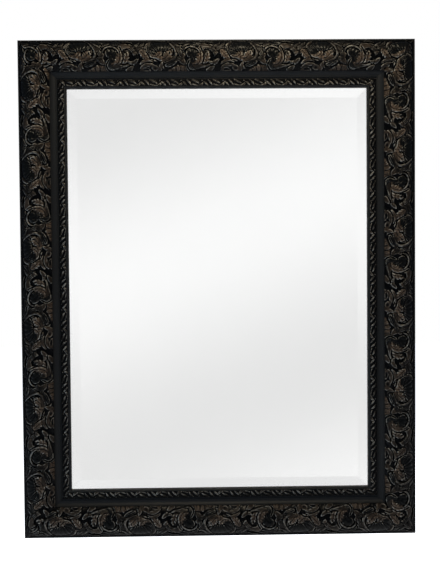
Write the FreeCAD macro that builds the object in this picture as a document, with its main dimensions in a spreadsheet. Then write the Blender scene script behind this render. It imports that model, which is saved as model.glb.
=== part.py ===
import FreeCAD, Part
import math
import os

import Sketcher

# Wall mirror: four mitred lengths of wooden moulding with embossed ornament hold a bevelled glass.
# The frame of the part: X to the right as seen from the room, Z up, Y towards the wall.
# The origin is on the wall, behind the middle of the mirror, so the front faces -Y.
#
# Each moulding length has a frame of its own: across runs from the outer edge towards the glass,
# front runs from the back of the wood towards the room, and along runs along the length.

# Driving sizes in millimetres
SIZES = {
    # glass and what lies behind it
    "glass_width": 600.0,
    "glass_height": 800.0,
    "glass_thickness": 4.0,
    "glass_edge_thickness": 2.2,
    "bevel_width": 25.0,
    "glass_clearance": 2.0,
    "silver_thickness": 0.1,
    "foam_thickness": 1.0,
    "foam_inset": 1.0,
    "board_thickness": 3.0,
    "board_clearance": 0.8,
    "board_recess": 0.3,
    "tape_thickness": 1.0,
    "tape_setback": 0.5,
    "tape_play": 0.1,
    "block_length": 20.0,
    # widths of the moulding, from the outer edge to the glass
    "bead_width": 2.5,
    "band_width": 58.0,
    "cove_width": 11.0,
    "quirk_width": 3.0,
    "sight_band_width": 13.5,
    "lip_width": 4.0,
    "rebate_width": 8.0,
    # heights of the moulding, each a step from the last
    "lip_thickness": 4.5,
    "lip_fall": 2.7,
    "lip_rise": 0.6,
    "sight_sink": 1.2,
    "quirk_depth": 1.0,
    "cove_step": 2.0,
    "cove_drop": 7.0,
    "cove_dip": 1.9,
    "band_sink": 4.6,
    "band_tilt": 2.6,
    "seat_rise": 14.3,
    "bead_step": 4.5,
    "edge_round": 1.2,
    # main ornament on its seat
    "glue_film": 0.1,
    "ground_outer_thickness": 3.7,
    "ground_inner_thickness": 4.1,
    "ground_rise": 12.9,
    "relief_outer_depth": 1.8,
    "relief_inner_depth": 0.8,
    "relief_rise": 16.1,
    "scroll_repeat": 156.0,
    # ornament beside the glass
    "leaf_ground_thickness": 1.0,
    "leaf_relief_depth": 0.7,
    "leaf_ground_rise": 0.6,
    "leaf_relief_rise": 1.3,
    "leaf_repeat": 41.0,
    # wedges in the mitres
    "wedge_leg": 9.0,
    "wedge_thickness": 0.8,
    "wedge_depth": 10.0,
    "wedge_first": 15.0,
    "wedge_spacing": 25.0,
    # turn buttons and their screws
    "button_thickness": 1.5,
    "button_width": 12.0,
    "button_reach": 26.0,
    "button_setback": 7.0,
    "button_gap": 0.2,
    "button_rib_width": 5.0,
    "button_rib_length": 11.0,
    "button_rib_height": 0.5,
    "button_stile_spacing": 290.0,
    "button_rail_spacing": 300.0,
    "button_screw_diameter": 3.0,
    "button_screw_length": 12.0,
    "button_screw_head_diameter": 6.0,
    "button_screw_head_height": 2.0,
    # hangers
    "running_clearance": 0.1,
    "hanger_height": 190.0,
    "hanger_inset": 45.0,
    "strap_sheet": 1.2,
    "strap_width": 16.0,
    "strap_length": 50.0,
    "strap_first_screw": 26.0,
    "strap_screw_spacing": 15.0,
    "ring_wire": 3.0,
    "ring_side_room": 3.0,
    "ring_leg": 5.0,
    "ring_corner": 3.0,
    "ring_rest_gap": 0.3,
    "ring_wall_gap": 0.3,
    "strap_screw_diameter": 4.0,
    "strap_screw_length": 16.0,
    "strap_screw_head_diameter": 7.6,
    "strap_screw_head_height": 2.0,
    "screw_tip": 4.0,
    "screw_clearance": 0.05,
    "recess_arm": 1.7,
    "recess_slot": 0.7,
    "recess_depth": 1.2,
    # wall pads
    "pad_radius": 11.0,
    "pad_inset": 30.0,
    "pad_draft": 0.8,
    "pad_round": 1.0,
    # how far a cutting shape runs past what it cuts
    "overrun": 5.0,
}

WEDGES_PER_MITRE = 3
BLOCKS_PER_SIDE = 2

# Scroll ornament, one repeat: leaves and crescents between two tips. Each row gives the first tip
# (along, across), the second tip (along, across) and how far each of its two edges bows to the
# left of the line between the tips, as a share of that line's length.
scroll_leaf_shares = [
    # lower scroll: rim over the bowl, stem, hanging lobe and the leaves behind it
    (0.067, 0.42, 0.234, 0.36, -0.58, -0.40),
    (0.234, 0.46, 0.237, 0.77, 0.28, -0.30),
    (0.276, 0.30, 0.365, 0.66, 0.24, -0.22),
    (0.128, 0.66, 0.192, 0.97, 0.26, -0.24),
    (0.212, 0.86, 0.404, 0.76, -0.14, 0.10),
    (0.256, 0.21, 0.417, 0.06, -0.20, 0.14),
    (0.391, 0.30, 0.449, 0.62, 0.20, -0.20),
    (0.391, 0.95, 0.487, 0.72, -0.18, 0.18),
    (0.424, 0.22, 0.551, 0.05, -0.18, 0.16),
    # upper scroll: hood, heart of the scroll, rim at its right and the leaves round it
    (0.628, 0.31, 0.910, 0.31, -0.30, 0.04),
    (0.686, 0.47, 0.792, 0.48, -0.36, 0.34),
    (0.804, 0.48, 0.908, 0.45, -0.36, 0.34),
    (0.917, 0.12, 0.846, 0.74, -0.34, -0.20),
    (0.538, 0.42, 0.641, 0.62, -0.22, 0.22),
    (0.583, 0.28, 0.647, 0.05, -0.22, 0.16),
    (0.538, 0.75, 0.718, 0.70, -0.12, 0.14),
    (0.532, 0.93, 0.692, 0.86, -0.14, 0.16),
    (0.718, 0.93, 0.801, 0.80, -0.18, 0.18),
    (0.821, 0.88, 0.974, 0.70, -0.16, 0.16),
    (0.904, 0.96, 1.071, 0.88, -0.10, 0.08),
]
scroll_boss_shares = [(0.158, 0.395, 0.125)]

# Leaf ornament, one repeat, in the same form
small_leaf_shares = [
    (0.05, 0.30, 0.20, 0.88, -0.24, 0.24),
    (0.25, 0.18, 0.62, 0.86, -0.16, 0.22),
    (0.70, 0.80, 0.80, 0.42, -0.22, 0.22),
    (0.84, 0.42, 0.99, 0.88, -0.22, 0.24),
]
small_boss_shares = [(0.69, 0.26, 0.13)]

# Where a repeat of the scroll begins, before the first corner of each side, going clockwise
scroll_start_shares = {"top": 0.0, "right": 0.382, "bottom": 0.287, "left": 0.125}
leaf_start_shares = {"top": 0.0, "right": 0.5, "bottom": 0.25, "left": 0.75}

# Shares of a screw's head, and of the glass's sides for its blocks
head_side_share = 0.35
block_place_share = 0.5


class Amount:
    """A number that also knows how the document works it out from the sizes."""

    def __init__(self, value, words):
        self.value = value
        self.words = words

    def combine(self, other, sign, result):
        return Amount(result, f"({self.words} {sign} {words_of(other)})")

    def __add__(self, other):
        return self.combine(other, "+", self.value + value_of(other))

    def __sub__(self, other):
        return self.combine(other, "-", self.value - value_of(other))

    def __mul__(self, other):
        return self.combine(other, "*", self.value * value_of(other))

    def __truediv__(self, other):
        return self.combine(other, "/", self.value / value_of(other))

    def __radd__(self, other):
        return Amount(other + self.value, f"({other} + {self.words})")

    def __rsub__(self, other):
        return Amount(other - self.value, f"({other} - {self.words})")

    def __rmul__(self, other):
        return Amount(other * self.value, f"({other} * {self.words})")

    def __neg__(self):
        return Amount(-self.value, f"(-1 * {self.words})")


def value_of(amount):
    return amount.value if isinstance(amount, Amount) else amount


def words_of(amount):
    return amount.words if isinstance(amount, Amount) else str(amount)


def root(amount):
    return Amount(math.sqrt(amount.value), f"sqrt({amount.words})")


def distance(across, up):
    return root(across * across + up * up)


class Named:
    """The driving sizes by name, as amounts."""


size = Named()
for name, number in SIZES.items():
    setattr(size, name, Amount(number, f"sizes.{name}"))

# Places across the moulding
band_start = size.bead_width
band_end = band_start + size.band_width
cove_end = band_end + size.cove_width
sight_start = cove_end + size.quirk_width
sight_end = sight_start + size.sight_band_width
moulding_width = sight_end + size.lip_width
rebate_wall = moulding_width - size.rebate_width
glass_edge = rebate_wall + size.glass_clearance
tape_edge = moulding_width - size.tape_setback

# Heights of what lies behind the glass, and of the glass, above the back of the wood
board_front = size.board_recess + size.board_thickness
foam_front = board_front + size.foam_thickness
silver_front = foam_front + size.silver_thickness
bevel_drop = size.glass_thickness - size.glass_edge_thickness
glass_under_tape = size.glass_edge_thickness + bevel_drop * (tape_edge - glass_edge) / size.bevel_width
tape_back = silver_front + glass_under_tape + size.tape_play
rebate_depth = tape_back + size.tape_thickness

# Heights of the moulding
lip_inner = rebate_depth + size.lip_thickness
lip_outer = lip_inner + size.lip_fall
sight_seat = lip_outer - size.sight_sink
quirk_floor = sight_seat - size.quirk_depth
cove_inner = quirk_floor + size.cove_step
cove_outer = cove_inner + size.cove_drop
seat_inner = cove_outer - size.band_sink
seat_outer = seat_inner + size.band_tilt
edge_height = seat_outer + size.bead_step

# Sides of the mirror
outer_width = size.glass_width + 2 * glass_edge
outer_height = size.glass_height + 2 * glass_edge

# Hanger: the strap is folded round the ring's wire, and the ring lies on the strap's tail
wire_radius = size.ring_wire / 2
loop_inner = wire_radius + size.running_clearance
loop_outer = loop_inner + size.strap_sheet
tail_thickness = 2 * size.strap_sheet
ring_inner_width = size.strap_width + 2 * size.ring_side_room
bow_radius = (ring_inner_width + size.ring_wire) / 2
ring_reach = size.ring_leg + bow_radius
ring_stand_off = tail_thickness + size.ring_rest_gap + wire_radius - loop_outer

# The pads keep the hanging ring just off the wall
pad_thickness = tail_thickness + size.ring_rest_gap + size.ring_wire + size.ring_wall_gap

X_WAY = FreeCAD.Vector(1, 0, 0)
Y_WAY = FreeCAD.Vector(0, 1, 0)
Z_WAY = FreeCAD.Vector(0, 0, 1)


class Station:
    """A frame on the mirror: where its origin is and which way across, front and along point."""

    def __init__(self, name, origin, across, front, along, length):
        self.name = name
        self.origin = origin
        self.ways = (across, front, along)
        self.rotation = FreeCAD.Rotation(across, front, along, "XYZ")
        self.length = length

    def at(self, across, front, along):
        place = []
        for axis in range(3):
            total = self.origin[axis]
            for way, amount in zip(self.ways, (across, front, along)):
                if way[axis] > 0:
                    total = total + amount
                elif way[axis] < 0:
                    total = total - amount
            place.append(total)
        return place


back = -pad_thickness
top = Station("top", (0, back, outer_height / 2), -Z_WAY, -Y_WAY, -X_WAY, outer_width)
right = Station("right", (outer_width / 2, back, 0), -X_WAY, -Y_WAY, Z_WAY, outer_height)
bottom = Station("bottom", (0, back, -outer_height / 2), Z_WAY, -Y_WAY, X_WAY, outer_width)
left = Station("left", (-outer_width / 2, back, 0), X_WAY, -Y_WAY, -Z_WAY, outer_height)
middle = Station("middle", (0, back, 0), -X_WAY, -Y_WAY, Z_WAY, outer_height)
sides = [top, right, bottom, left]

into_the_wood = FreeCAD.Rotation(X_WAY, 90)
towards_the_wall = FreeCAD.Rotation(X_WAY, -90)

doc = FreeCAD.newDocument("mirror")
subparts = []


def write_sheet():
    """The spreadsheet that holds every driving size."""
    sheet = doc.addObject("Spreadsheet::Sheet", "sizes")
    for row, (name, number) in enumerate(SIZES.items(), start=1):
        sheet.set(f"A{row}", name.replace("_", " "))
        sheet.set(f"B{row}", str(number))
        sheet.setAlias(f"B{row}", name)
    doc.recompute()


def bind(thing, prop, amount):
    """Set a property from an amount, and bind it to the sheet where the amount comes from it."""
    if isinstance(amount, Amount):
        thing.setExpression(prop, amount.words)


def place(thing, position, rotation=None):
    """Put an object at a position of amounts, turned as a whole."""
    numbers = [value_of(amount) for amount in position]
    thing.Placement = FreeCAD.Placement(FreeCAD.Vector(*numbers), rotation or FreeCAD.Rotation())
    for axis, amount in zip("xyz", position):
        bind(thing, f"Placement.Base.{axis}", amount)


def name_subpart(thing, name):
    thing.Label = name
    subparts.append(thing)
    return thing


def new_body(name):
    return doc.addObject("PartDesign::Body", name)


def new_sketch(body, name, plane_role):
    """A sketch on one of the body's own origin planes."""
    plane = [feature for feature in body.Origin.OriginFeatures if feature.Role == plane_role][0]
    sketch = body.newObject("Sketcher::SketchObject", name)
    sketch.AttachmentSupport = [(plane, "")]
    sketch.MapMode = "FlatFace"
    return sketch


def point_ties(piece, which, point):
    """What holds one end, or the centre, of a sketch line at a point of amounts."""
    ties = []
    for kind, axis, amount in (("DistanceX", "x", point[0]), ("DistanceY", "y", point[1])):
        constraint = Sketcher.Constraint(kind, -1, 1, piece, which, float(value_of(amount)))
        ties.append((constraint, f"{axis}{piece}_{which}", amount))
    return ties


def radius_tie(piece, radius):
    return Sketcher.Constraint("Radius", piece, radius.value), f"radius{piece}", radius


def joined(piece, end, other, other_end):
    return Sketcher.Constraint("Coincident", piece, end, other, other_end), None, None


def tie(sketch, ties):
    """Add all the constraints of an outline at once, name them and bind them to the sheet."""
    first = sketch.ConstraintCount
    sketch.addConstraint([constraint for constraint, label, amount in ties])
    for index, (constraint, label, amount) in enumerate(ties, start=first):
        if label:
            sketch.renameConstraint(index, label)
            bind(sketch, f"Constraints.{label}", amount)


def arc_facts(start, end, kind, amount):
    """Radius of an arc between two points, and how far its middle stands to the left."""
    chord = distance(end[0] - start[0], end[1] - start[1])
    to_left = amount.value > 0
    bow = amount if to_left else -amount
    if kind == "radius":
        reach = bow.value - math.sqrt(bow.value ** 2 - chord.value ** 2 / 4)
        return bow, reach if to_left else -reach
    radius = (chord * chord / 4 + bow * bow) / (2 * bow)
    return radius, amount.value


def draw_arc(sketch, start, end, kind, amount):
    """An arc, the ends of it that lie at the start and at the end, and what holds its radius."""
    radius, reach = arc_facts(start, end, kind, amount)
    first = FreeCAD.Vector(value_of(start[0]), value_of(start[1]), 0)
    last = FreeCAD.Vector(value_of(end[0]), value_of(end[1]), 0)
    to_left = FreeCAD.Vector(first.y - last.y, last.x - first.x, 0).normalize()
    arc = Part.Arc(first, (first + last) / 2 + to_left * reach, last)
    piece = sketch.addGeometry(arc, False)
    one_end = sketch.getPoint(piece, 1)
    ends = (1, 2) if one_end.distanceToPoint(first) < one_end.distanceToPoint(last) else (2, 1)
    return piece, ends, [radius_tie(piece, radius)]


def draw_line(sketch, start, end):
    first = FreeCAD.Vector(value_of(start[0]), value_of(start[1]), 0)
    last = FreeCAD.Vector(value_of(end[0]), value_of(end[1]), 0)
    return sketch.addGeometry(Part.LineSegment(first, last), False), (1, 2), []


def draw_outline(sketch, corners):
    """A closed outline. A corner is (x, y), and the line to the next corner is straight, or
    (x, y, "rise", amount) or (x, y, "radius", amount), and it is an arc that bows to the left."""
    zero = 0 * size.overrun
    points = [(corner[0] + zero, corner[1] + zero) for corner in corners]
    pieces = []
    for index, corner in enumerate(corners):
        start = points[index]
        end = points[(index + 1) % len(points)]
        if len(corner) > 2:
            pieces.append(draw_arc(sketch, start, end, corner[2], corner[3]))
        else:
            pieces.append(draw_line(sketch, start, end))
    ties = []
    for index, (piece, ends, own_ties) in enumerate(pieces):
        following, following_ends, following_ties = pieces[(index + 1) % len(pieces)]
        ties.append(joined(piece, ends[1], following, following_ends[0]))
        ties += point_ties(piece, ends[0], points[index]) + own_ties
    tie(sketch, ties)


def draw_circle(sketch, centre, radius):
    middle_point = FreeCAD.Vector(value_of(centre[0]), value_of(centre[1]), 0)
    piece = sketch.addGeometry(Part.Circle(middle_point, Z_WAY, radius.value), False)
    tie(sketch, point_ties(piece, 3, centre) + [radius_tie(piece, radius)])


def pad(body, sketch, length, midplane=False, reverse=False):
    feature = body.newObject("PartDesign::Pad", f"{sketch.Name}_pad")
    feature.Profile = sketch
    feature.Midplane = midplane
    feature.Reversed = reverse
    bind(feature, "Length", length)
    return feature


def pocket(body, sketch, length, reverse=False):
    feature = body.newObject("PartDesign::Pocket", f"{sketch.Name}_pocket")
    feature.Profile = sketch
    feature.Reversed = reverse
    bind(feature, "Length", length)
    return feature


def pocket_through(body, sketch):
    feature = body.newObject("PartDesign::Pocket", f"{sketch.Name}_pocket")
    feature.Profile = sketch
    feature.Type = "ThroughAll"
    feature.Midplane = True
    return feature


def revolve(body, sketch):
    feature = body.newObject("PartDesign::Revolution", f"{sketch.Name}_turn")
    axis = [thing for thing in body.Origin.OriginFeatures if thing.Role == "Z_Axis"][0]
    feature.Profile = sketch
    feature.ReferenceAxis = (axis, [""])
    return feature


def link_to(thing, name, position, rotation):
    """One more copy of an object, at a place of its own."""
    link = doc.addObject("App::Link", name)
    link.LinkedObject = thing
    place(link, position, rotation)
    return link


def compound(name, things):
    group = doc.addObject("Part::Compound", name)
    group.Links = things
    return group


def cut(name, base, tool):
    result = doc.addObject("Part::Cut", name)
    result.Base = base
    result.Tool = tool
    return result


def mitred_length(name, side, corners):
    """A length of one side's section, from outer corner to outer corner, with both ends mitred."""
    body = new_body(name)
    section = new_sketch(body, f"{name}_section", "XY_Plane")
    draw_outline(section, corners)
    pad(body, section, side.length, midplane=True)
    mitres = new_sketch(body, f"{name}_mitres", "XZ_Plane")
    half = side.length / 2
    reach = moulding_width + size.overrun
    for end in (1, -1):
        draw_outline(mitres, [
            (-size.overrun, end * (half + size.overrun)),
            (reach, end * (half + size.overrun)),
            (reach, end * (half - reach)),
        ])
    pocket_through(body, mitres)
    place(body, side.at(0, 0, 0), side.rotation)
    return body


def moulding_section():
    return [
        (0, 0),
        (0, edge_height - size.edge_round, "radius", size.edge_round),
        (size.edge_round, edge_height),
        (band_start, edge_height),
        (band_start, seat_outer, "rise", size.seat_rise),
        (band_end, seat_inner),
        (band_end, cove_outer, "rise", -size.cove_dip),
        (cove_end, cove_inner),
        (cove_end, quirk_floor),
        (sight_start, quirk_floor),
        (sight_start, sight_seat),
        (sight_end, sight_seat),
        (sight_end, lip_outer, "rise", size.lip_rise),
        (moulding_width, lip_inner),
        (moulding_width, rebate_depth),
        (rebate_wall, rebate_depth),
        (rebate_wall, 0),
    ]


def scroll_sections():
    """Section of the scroll ornament's ground, and of the layer that its leaves stand in."""
    outer = seat_outer + size.glue_film
    inner = seat_inner + size.glue_film
    ground_outer = seat_outer + size.ground_outer_thickness
    ground_inner = seat_inner + size.ground_inner_thickness
    ground = [
        (band_start, outer),
        (band_start, ground_outer, "rise", size.ground_rise),
        (band_end, ground_inner),
        (band_end, inner, "rise", -size.seat_rise),
    ]
    layer = [
        (band_start, (outer + ground_outer) / 2),
        (band_start, ground_outer + size.relief_outer_depth, "rise", size.relief_rise),
        (band_end, ground_inner + size.relief_inner_depth),
        (band_end, (inner + ground_inner) / 2, "rise", -(size.seat_rise + size.ground_rise) / 2),
    ]
    return ground, layer


def leaf_sections():
    """The same two sections for the leaf ornament beside the glass."""
    ground_top = sight_seat + size.leaf_ground_thickness
    relief_top = ground_top + size.leaf_relief_depth
    ground = [
        (sight_start, sight_seat),
        (sight_start, ground_top, "rise", size.leaf_ground_rise),
        (sight_end, ground_top),
        (sight_end, sight_seat),
    ]
    layer = [
        (sight_start, sight_seat + size.leaf_ground_thickness / 2),
        (sight_start, relief_top, "rise", size.leaf_relief_rise),
        (sight_end, relief_top),
        (sight_end, sight_seat + size.leaf_ground_thickness / 2),
    ]
    return ground, layer


def leaf_prism(name, one, two, first_bow, second_bow, height):
    """An upright leaf between two tips, each edge an arc."""
    sketch = plan_sketch(f"{name}_plan")
    first, first_ends, first_ties = draw_arc(sketch, one, two, "rise", first_bow)
    second, second_ends, second_ties = draw_arc(sketch, one, two, "rise", second_bow)
    ties = first_ties + second_ties
    for point, first_end, second_end in zip((one, two), first_ends, second_ends):
        ties += point_ties(first, first_end, point)
        ties.append(joined(second, second_end, first, first_end))
    tie(sketch, ties)
    return upright(name, sketch, height)


def boss_prism(name, centre, radius, height):
    """An upright round boss."""
    sketch = plan_sketch(f"{name}_plan")
    draw_circle(sketch, centre, radius)
    return upright(name, sketch, height)


def plan_sketch(name):
    """A sketch on the back of the wood: its x runs across, its y along."""
    sketch = doc.addObject("Sketcher::SketchObject", name)
    sketch.Placement = FreeCAD.Placement(FreeCAD.Vector(), into_the_wood)
    return sketch


def upright(name, sketch, height):
    prism = doc.addObject("Part::Extrusion", name)
    prism.Base = sketch
    prism.DirMode = "Custom"
    prism.Dir = Y_WAY
    prism.Solid = True
    bind(prism, "LengthFwd", height)
    return prism


def ornament_tile(name, sections, leaves, bosses, repeat, start, width):
    """One repeat of an ornament: a length of its ground with the leaves standing on it."""
    height = edge_height + size.relief_rise + size.overrun
    prisms = []
    for index, leaf in enumerate(leaves):
        along_one, across_one, along_two, across_two, first_share, second_share = leaf
        one = (start + across_one * width, -along_one * repeat)
        two = (start + across_two * width, -along_two * repeat)
        chord = distance(two[0] - one[0], two[1] - one[1])
        bows = (first_share * chord, second_share * chord)
        prisms.append(leaf_prism(f"{name}_leaf_{index}", one, two, *bows, height))
    for index, (along, across, radius) in enumerate(bosses):
        centre = (start + across * width, -along * repeat)
        prisms.append(boss_prism(f"{name}_boss_{index}", centre, radius * width, height))
    stamp = compound(f"{name}_stamp", prisms)
    # a leaf that runs past the end of the repeat comes in again at its start
    stamps = [link_to(stamp, f"{name}_stamp_{word}", (0, 0, shift), FreeCAD.Rotation())
              for word, shift in (("here", 0 * repeat), ("before", repeat))]
    lengths = []
    for word, corners in zip(("ground", "layer"), sections):
        body = new_body(f"{name}_{word}")
        section = new_sketch(body, f"{name}_{word}_section", "XY_Plane")
        draw_outline(section, corners)
        pad(body, section, repeat, reverse=True)
        lengths.append(body)
    standing = doc.addObject("Part::Common", f"{name}_leaves")
    standing.Base = lengths[1]
    standing.Tool = compound(f"{name}_stamps", stamps)
    tile = doc.addObject("Part::Fuse", name)
    tile.Base = lengths[0]
    tile.Tool = standing
    return tile


def end_blocks(side):
    """What lies past the mitres of a side, for as long as the longest repeat."""
    body = new_body(f"past_{side.name}")
    plan = new_sketch(body, f"past_{side.name}_plan", "XZ_Plane")
    half = side.length / 2
    reach = moulding_width + size.overrun
    far = half + size.scroll_repeat + size.overrun
    for end in (1, -1):
        draw_outline(plan, [
            (-size.overrun, end * (half + size.overrun)),
            (-size.overrun, end * far),
            (reach, end * far),
            (reach, end * (half - reach)),
        ])
    pad(body, plan, edge_height + size.relief_rise + size.overrun, reverse=True)
    place(body, side.at(0, 0, 0), side.rotation)
    return body


def ornament_strip(name, side, tile, repeat, start_share, past):
    """One side's ornament: repeats end to end, cut to the mitres."""
    count = math.ceil(side.length.value / repeat.value + start_share)
    copies = []
    for index in range(count):
        along = side.length / 2 + (start_share - index) * repeat
        copies.append(link_to(tile, f"{name}_repeat_{index}", side.at(0, 0, along), side.rotation))
    length = doc.addObject("Part::MultiFuse", f"{name}_length")
    length.Shapes = copies
    name_subpart(cut(name, length, past), name)


def box_at(name, station, low, dims):
    """A box whose low corner and sizes are given across, front and along a station."""
    box = doc.addObject("Part::Box", name)
    for prop, amount in zip(("Length", "Width", "Height"), dims):
        bind(box, prop, amount)
    place(box, station.at(*low), station.rotation)
    return box


def panel(name, inset, low, thickness):
    """A flat sheet behind or in the frame, inset from the outline of the glass."""
    width = size.glass_width - 2 * inset
    height = size.glass_height - 2 * inset
    return box_at(name, middle, (-width / 2, low, -height / 2), (width, thickness, height))


def make_glass():
    """The glass: a plate as thick as its edge, with the bevelled front standing on it."""
    plate = panel("glass_plate", 0, silver_front, size.glass_edge_thickness)
    bevel = doc.addObject("Part::Wedge", "glass_bevel")
    half_width = size.glass_width / 2
    half_height = size.glass_height / 2
    for prop, amount in (
        ("Xmin", -half_width), ("Xmax", half_width),
        ("Zmin", -half_height), ("Zmax", half_height),
        ("X2min", size.bevel_width - half_width), ("X2max", half_width - size.bevel_width),
        ("Z2min", size.bevel_width - half_height), ("Z2max", half_height - size.bevel_width),
        ("Ymin", 0 * bevel_drop), ("Ymax", bevel_drop),
    ):
        bind(bevel, prop, amount)
    place(bevel, middle.at(0, silver_front + size.glass_edge_thickness, 0), middle.rotation)
    glass = doc.addObject("Part::Fuse", "mirror_glass")
    glass.Base = plate
    glass.Tool = bevel
    glass.Refine = True
    name_subpart(glass, "mirror_glass")


def make_tapes():
    """Soft tape on the back of the lip, all round the glass."""
    width = tape_edge - glass_edge
    for side in sides:
        ends = glass_edge if side in (top, bottom) else tape_edge
        length = side.length - 2 * ends
        tape = box_at(f"tape_{side.name}", side, (glass_edge, tape_back, -length / 2),
                      (width, size.tape_thickness, length))
        name_subpart(tape, f"rebate_tape_{side.name}")


def make_blocks():
    """Rubber blocks between the edge of the glass and the wall of the rebate."""
    blocks = []
    for side in sides:
        for index in range(BLOCKS_PER_SIDE):
            spread = side.length * block_place_share
            along = spread * index - spread / 2 - size.block_length / 2
            blocks.append(box_at(f"block_{side.name}_{index}", side, (rebate_wall, foam_front, along),
                                 (size.glass_clearance, silver_front - foam_front + size.glass_edge_thickness,
                                  size.block_length)))
    name_subpart(compound("glass_edge_blocks", blocks), "glass_edge_blocks")


def make_wedges():
    """Bent steel wedges across the mitres, flush with the back of the wood."""
    body = new_body("wedge")
    sketch = new_sketch(body, "wedge_plan", "XZ_Plane")
    leg = size.wedge_leg
    sheet = size.wedge_thickness
    draw_outline(sketch, [(0, 0), (leg, 0), (leg, -sheet), (sheet, -sheet), (sheet, -leg), (0, -leg)])
    pad(body, sketch, size.wedge_depth, reverse=True)
    copies = []
    for side in sides:
        for index in range(WEDGES_PER_MITRE):
            inset = size.wedge_first + index * size.wedge_spacing
            position = side.at(inset, 0, side.length / 2 - inset)
            copies.append(link_to(body, f"wedge_{side.name}_{index}", position, side.rotation))
    return name_subpart(compound("corner_wedges", copies), "corner_wedges")


def button_places():
    """Every turn button: its name, its side and how far along that side it sits."""
    places = []
    for side, upward in ((left, -1), (right, 1)):
        for word, share in (("upper", 1), ("middle", 0), ("lower", -1)):
            places.append((f"{side.name}_{word}", side, upward * share * size.button_stile_spacing))
    for side, rightward in ((top, -1), (bottom, 1)):
        for word, share in (("left", -1), ("right", 1)):
            places.append((f"{side.name}_{word}", side, rightward * share * size.button_rail_spacing / 2))
    return places


button_pivot = rebate_wall - size.button_setback


def make_button(name, side, along):
    """A turn button: a flat steel tongue that turns on its screw, with a pressed rib."""
    body = new_body(name)
    plate = new_sketch(body, f"{name}_plate", "XZ_Plane")
    half = size.button_width / 2
    far = size.button_reach - half
    draw_outline(plate, [
        (0, half),
        (far, half, "radius", half),
        (far + half, 0, "radius", half),
        (far, -half),
        (0, -half, "radius", half),
        (-half, 0, "radius", half),
    ])
    draw_circle(plate, (0, 0), size.button_screw_diameter / 2 + size.running_clearance)
    pad(body, plate, size.button_thickness)
    rib = new_sketch(body, f"{name}_rib", "XZ_Plane")
    rib_half = size.button_rib_width / 2
    rib_start = far - size.button_rib_length
    draw_outline(rib, [
        (rib_start, rib_half),
        (far, rib_half, "radius", rib_half),
        (far + rib_half, 0, "radius", rib_half),
        (far, -rib_half),
        (rib_start, -rib_half, "radius", rib_half),
        (rib_start - rib_half, 0, "radius", rib_half),
    ])
    pad(body, rib, size.button_thickness + size.button_rib_height)
    place(body, side.at(button_pivot, -size.button_gap, along), side.rotation)
    name_subpart(body, name)


def screw_body(name, head_points, shank_radius, length, recess_plane):
    """A screw about its own axis, with its tip ahead and a cross recess in its head."""
    body = new_body(name)
    section = new_sketch(body, f"{name}_section", "XZ_Plane")
    draw_outline(section, head_points + [
        (shank_radius, length - size.screw_tip),
        (0, length),
    ])
    revolve(body, section)
    if recess_plane is not None:
        recess = new_sketch(body, f"{name}_recess", "XY_Plane")
        bind(recess, "AttachmentOffset.Base.z", recess_plane)
        arm = size.recess_arm
        slot = size.recess_slot / 2
        draw_outline(recess, [
            (arm, slot), (slot, slot), (slot, arm), (-slot, arm), (-slot, slot), (-arm, slot),
            (-arm, -slot), (-slot, -slot), (-slot, -arm), (slot, -arm), (slot, -slot), (arm, -slot),
        ])
        pocket(body, recess, size.recess_depth, reverse=True)
    return body


def pan_head_screw():
    head_radius = size.button_screw_head_diameter / 2
    height = size.button_screw_head_height
    shank = size.button_screw_diameter / 2
    crown = height * (1 - head_side_share)
    head = [
        (0, -height, "rise", -crown / 3),
        (head_radius, -height * head_side_share),
        (head_radius, 0),
        (shank, 0),
    ]
    return screw_body("button_screw", head, shank, size.button_screw_length, -height)


def countersunk_screw():
    shank = size.strap_screw_diameter / 2
    head = [
        (0, 0),
        (size.strap_screw_head_diameter / 2, 0),
        (shank, size.strap_screw_head_height),
    ]
    return screw_body("strap_screw", head, shank, size.strap_screw_length, 0 * shank)


def screw_hole(name, head_radius, head_height, shank, length):
    """The hole that a screw needs: its own shape with a little room, open at the head."""
    room = size.screw_clearance
    head = [
        (0, -size.overrun),
        (head_radius + room, -size.overrun),
        (head_radius + room, 0),
        (shank + room, head_height),
    ]
    return screw_body(name, head, shank + room, length + room, None)


def make_hangers():
    """Folded straps with their rings, the screws that hold them, and the holes those need."""
    screw = countersunk_screw()
    hole = screw_hole("strap_screw_hole", size.strap_screw_head_diameter / 2, size.strap_screw_head_height,
                      size.strap_screw_diameter / 2, size.strap_screw_length)
    screws = []
    holes = []
    for name, way in (("left", -1), ("right", 1)):
        x = way * (outer_width / 2 - size.hanger_inset)
        hinge = (x, back + loop_outer, 0 + size.hanger_height)
        own_holes = []
        for index in range(2):
            z = size.hanger_height - size.strap_first_screw - index * size.strap_screw_spacing
            position = (x, back + tail_thickness, z)
            screws.append(link_to(screw, f"strap_screw_{name}_{index}", position, into_the_wood))
            own_holes.append(link_to(hole, f"strap_hole_{name}_{index}", position, into_the_wood))
        holes += own_holes
        make_strap(name, hinge, compound(f"strap_holes_{name}", own_holes))
        make_ring(name, hinge)
    name_subpart(compound("hanger_screws", screws), "hanger_screws")
    return holes


def make_strap(name, hinge, holes):
    body = new_body(f"strap_{name}")
    section = new_sketch(body, f"strap_{name}_section", "YZ_Plane")
    tail = tail_thickness - loop_outer
    meets = root(loop_outer * loop_outer - tail * tail)
    draw_outline(section, [
        (-loop_outer, 0),
        (-loop_outer, -size.strap_length),
        (tail, -size.strap_length),
        (tail, -meets, "radius", -loop_outer),
        (loop_outer, 0, "radius", -loop_outer),
        (0, loop_outer, "radius", -loop_outer),
    ])
    draw_circle(section, (0, 0), loop_inner)
    pad(body, section, size.strap_width, midplane=True)
    place(body, hinge)
    name_subpart(cut(f"hanger_strap_{name}", body, holes), f"hanger_strap_{name}")


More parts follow.
